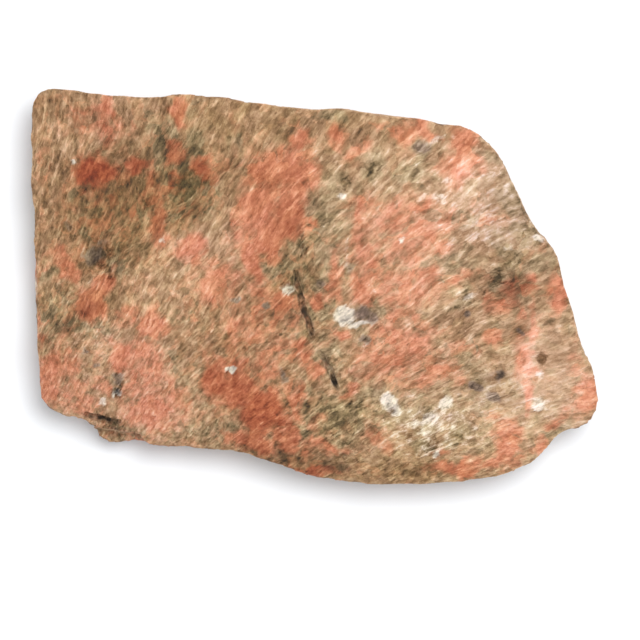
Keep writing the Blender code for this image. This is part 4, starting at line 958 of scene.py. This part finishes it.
def unakite():
    material, tree, shader, metres = new_material("unakite")
    place = stretch(tree, metres, (1.0 / MM, 1.0 / MM, 1.0 / MM))
    lay = written(tree, "lay", "Vector")
    ragged = ruffle(tree, lay, 0.8, 0.9)

    # Noises from coarse to fine
    broad = grain(tree, place, 5.5, 4.0, 0.6, 0.4)
    middle = grain(tree, stretch(tree, lay, (0.85, 1.0, 1.0)), 2.2, 4.0, 0.62, 0.3)
    other = grain(tree, stretch(tree, lay, (0.8, 1.0, 1.0), (31.0, 17.0, 9.0)), 2.0, 4.0, 0.6, 0.3)
    crystal = cells(tree, stretch(tree, ragged, (0.7, 1.0, 0.8), (15.0, 4.0, 6.0)), 1.5)
    small = grain(tree, stretch(tree, lay, (0.7, 1.0, 1.0), (5.0, 41.0, 3.0)), 1.0, 3.0, 0.6)
    flecks = grain(tree, stretch(tree, lay, (0.5, 1.0, 1.0), (51.0, 7.0, 13.0)), 0.7, 3.0, 0.6)
    fine = fine_grain(tree, lay, ragged, place)

    # Where each mineral shows
    rust = written(tree, "rust")
    salmon = showing(tree, "salmon", 0.12, 1.06, (rust, 0.12), (broad, 0.06), (middle, 0.22),
                     (small, 0.20), (crystal, 0.20), (flecks, 0.06))
    olive = showing(tree, "olive", 0.14, 0.92, (other, 0.36), (small, -0.18), (crystal, -0.12), 0.06)
    quartz = showing(tree, "quartz", 0.30, 0.85, (small, 0.20), (flecks, 0.20), (fine, 0.16))
    grey = showing(tree, "grey", 0.22, 1.0, (small, 0.20), (flecks, 0.20), (fine, 0.16))
    # Dark grains, and painted shade in pits, along the fissure and at the ledge
    dark = showing(tree, "dark", 0.30, 0.95, (flecks, -0.34), (fine, -0.14))

    # How light each grain is
    contrast = weigh(tree, (olive, 0.14), (salmon, -0.22), 1.08)
    vivid = written(tree, "vivid")
    fine_contrast = weigh(tree, (vivid, 0.5), (written(tree, "sharp"), 1.0), contrast)
    patch_contrast = weigh(tree, (vivid, 1.2), contrast)
    patchy = weigh(tree, (small, 0.088), (middle, 0.062), (other, 0.060), (crystal, 0.035))
    strokes = weigh(tree, (fine, 0.168), (flecks, 0.066))
    # Painted light along the rim; the light field adds painted light and shade, the dark field painted
    # shade
    light = weigh(tree, (strokes, fine_contrast), (patchy, patch_contrast), (broad, 0.020),
                  (written(tree, "light"), 1.0), (written(tree, "rim"), 0.14),
                  (rust, -0.04), (dark, -0.18), (olive, -0.005), MIDDLE_LIGHT)
    pale_light = weigh(tree, (light, 1.0), PALER)
    dull_light = weigh(tree, (light, 1.0), DULLER)

    # The colour of each mineral at that lightness
    colour = blend_colour(tree, olive, tones(tree, light, MATRIX_TONES),
                          tones(tree, light, EPIDOTE_TONES))
    feldspar = blend_colour(tree, rise(tree, rust, 0.3, 1.1), tones(tree, light, FELDSPAR_TONES),
                            tones(tree, light, RUST_TONES))
    colour = blend_colour(tree, salmon, colour, feldspar)
    colour = blend_colour(tree, quartz, colour, tones(tree, pale_light, QUARTZ_TONES))
    colour = blend_colour(tree, grey, colour, tones(tree, dull_light, GREY_TONES))
    yellow = weigh(tree, (written(tree, "tint"), 0.5), (other, 0.32), (crystal, 0.16), 0.45)
    tint = blend_colour(tree, sums(tree, "ADD", yellow, 0.0, clamp=True), shade(ROSE_TINT),
                        shade(YELLOW_TINT))
    colour = blend_colour(tree, 1.0, colour, tint, "MULTIPLY")
    # Painted shade in the fissure, pits and ledge
    colour = blend_colour(tree, written(tree, "cleft"), colour, shade(PAINTED_SHADE_BROWN))
    put(tree, shader.inputs["Base Color"], colour)

    put(tree, shader.inputs["Roughness"], blend_value(tree, quartz, STONE_ROUGH, QUARTZ_ROUGH))
    shader.inputs["Specular IOR Level"].default_value = 0.35
    bump = tree.nodes.new("ShaderNodeBump")
    bump.inputs["Strength"].default_value = 0.8
    bump.inputs["Distance"].default_value = BUMP_HEIGHT * MM
    put(tree, bump.inputs["Height"],
        weigh(tree, (fine, 0.6), (flecks, 0.35), (small, 0.6), (middle, 0.9), (dark, -0.8)))
    put(tree, shader.inputs["Normal"], bump.outputs[0])
    return material


def paper():
    """White paper, from 0.90 to 0.97 rough."""
    material, tree, shader, metres = new_material("white_paper")
    fibre = node_at(tree, "ShaderNodeTexWhiteNoise", metres)
    put(tree, shader.inputs["Roughness"], rise(tree, fibre.outputs["Value"], -8.0, 2.0))
    shader.inputs["Base Color"].default_value = shade(FLOOR_WHITE)
    return material


# The studio

def camera():
    """Straight above the stone, and so far away that its sides stay out of sight."""
    data = bpy.data.cameras.new("overhead_camera")
    data.lens, data.sensor_width = LENS, SENSOR
    data.clip_start, data.clip_end = 0.01, 20.0
    eye = bpy.data.objects.new("overhead_camera", data)
    x, y, z = LOOK_AT
    eye.location = (x * MM, y * MM, (FRAME_ACROSS * LENS / SENSOR + z) * MM)
    bpy.context.scene.collection.objects.link(eye)
    bpy.context.scene.camera = eye


def floor():
    bpy.ops.object.select_all(action="DESELECT")
    bpy.ops.mesh.primitive_circle_add(vertices=96, radius=3.0, fill_type="NGON")
    sheet = bpy.context.object
    sheet.name = "white_floor"
    sheet.data.materials.append(paper())


def lamp(name, place, aim, size, power):
    data = bpy.data.lights.new(name, "AREA")
    data.shape, data.size, data.energy = "DISK", size, power
    light = bpy.data.objects.new(name, data)
    light.location = place
    light.rotation_euler = (Vector(place) - Vector(aim)).to_track_quat("Z", "Y").to_euler()
    bpy.context.scene.collection.objects.link(light)


def studio():
    floor()
    lamp("soft_key", place=(0.130, 0.130, 0.75), aim=(0.0, 0.0, 0.01), size=0.34, power=4.15)
    world = bpy.data.worlds.new("white_room")
    world.use_nodes = True
    background = world.node_tree.nodes["Background"]
    background.inputs["Color"].default_value = ROOM_COLOUR
    background.inputs["Strength"].default_value = ROOM_LIGHT
    bpy.context.scene.world = world
    bpy.context.scene.view_settings.view_transform = "Standard"


noise.seed_set(7)
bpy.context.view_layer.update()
camera()
studio()
stone = rough_block()
cut_fissure(stone)
press_pits(stone)
break_sides(stone)
roughen(stone)
write_minerals(stone)
stone.data.materials.append(unakite())
select_only(stone)
bpy.ops.object.shade_smooth()
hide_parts(STONE)
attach(stone, "root")
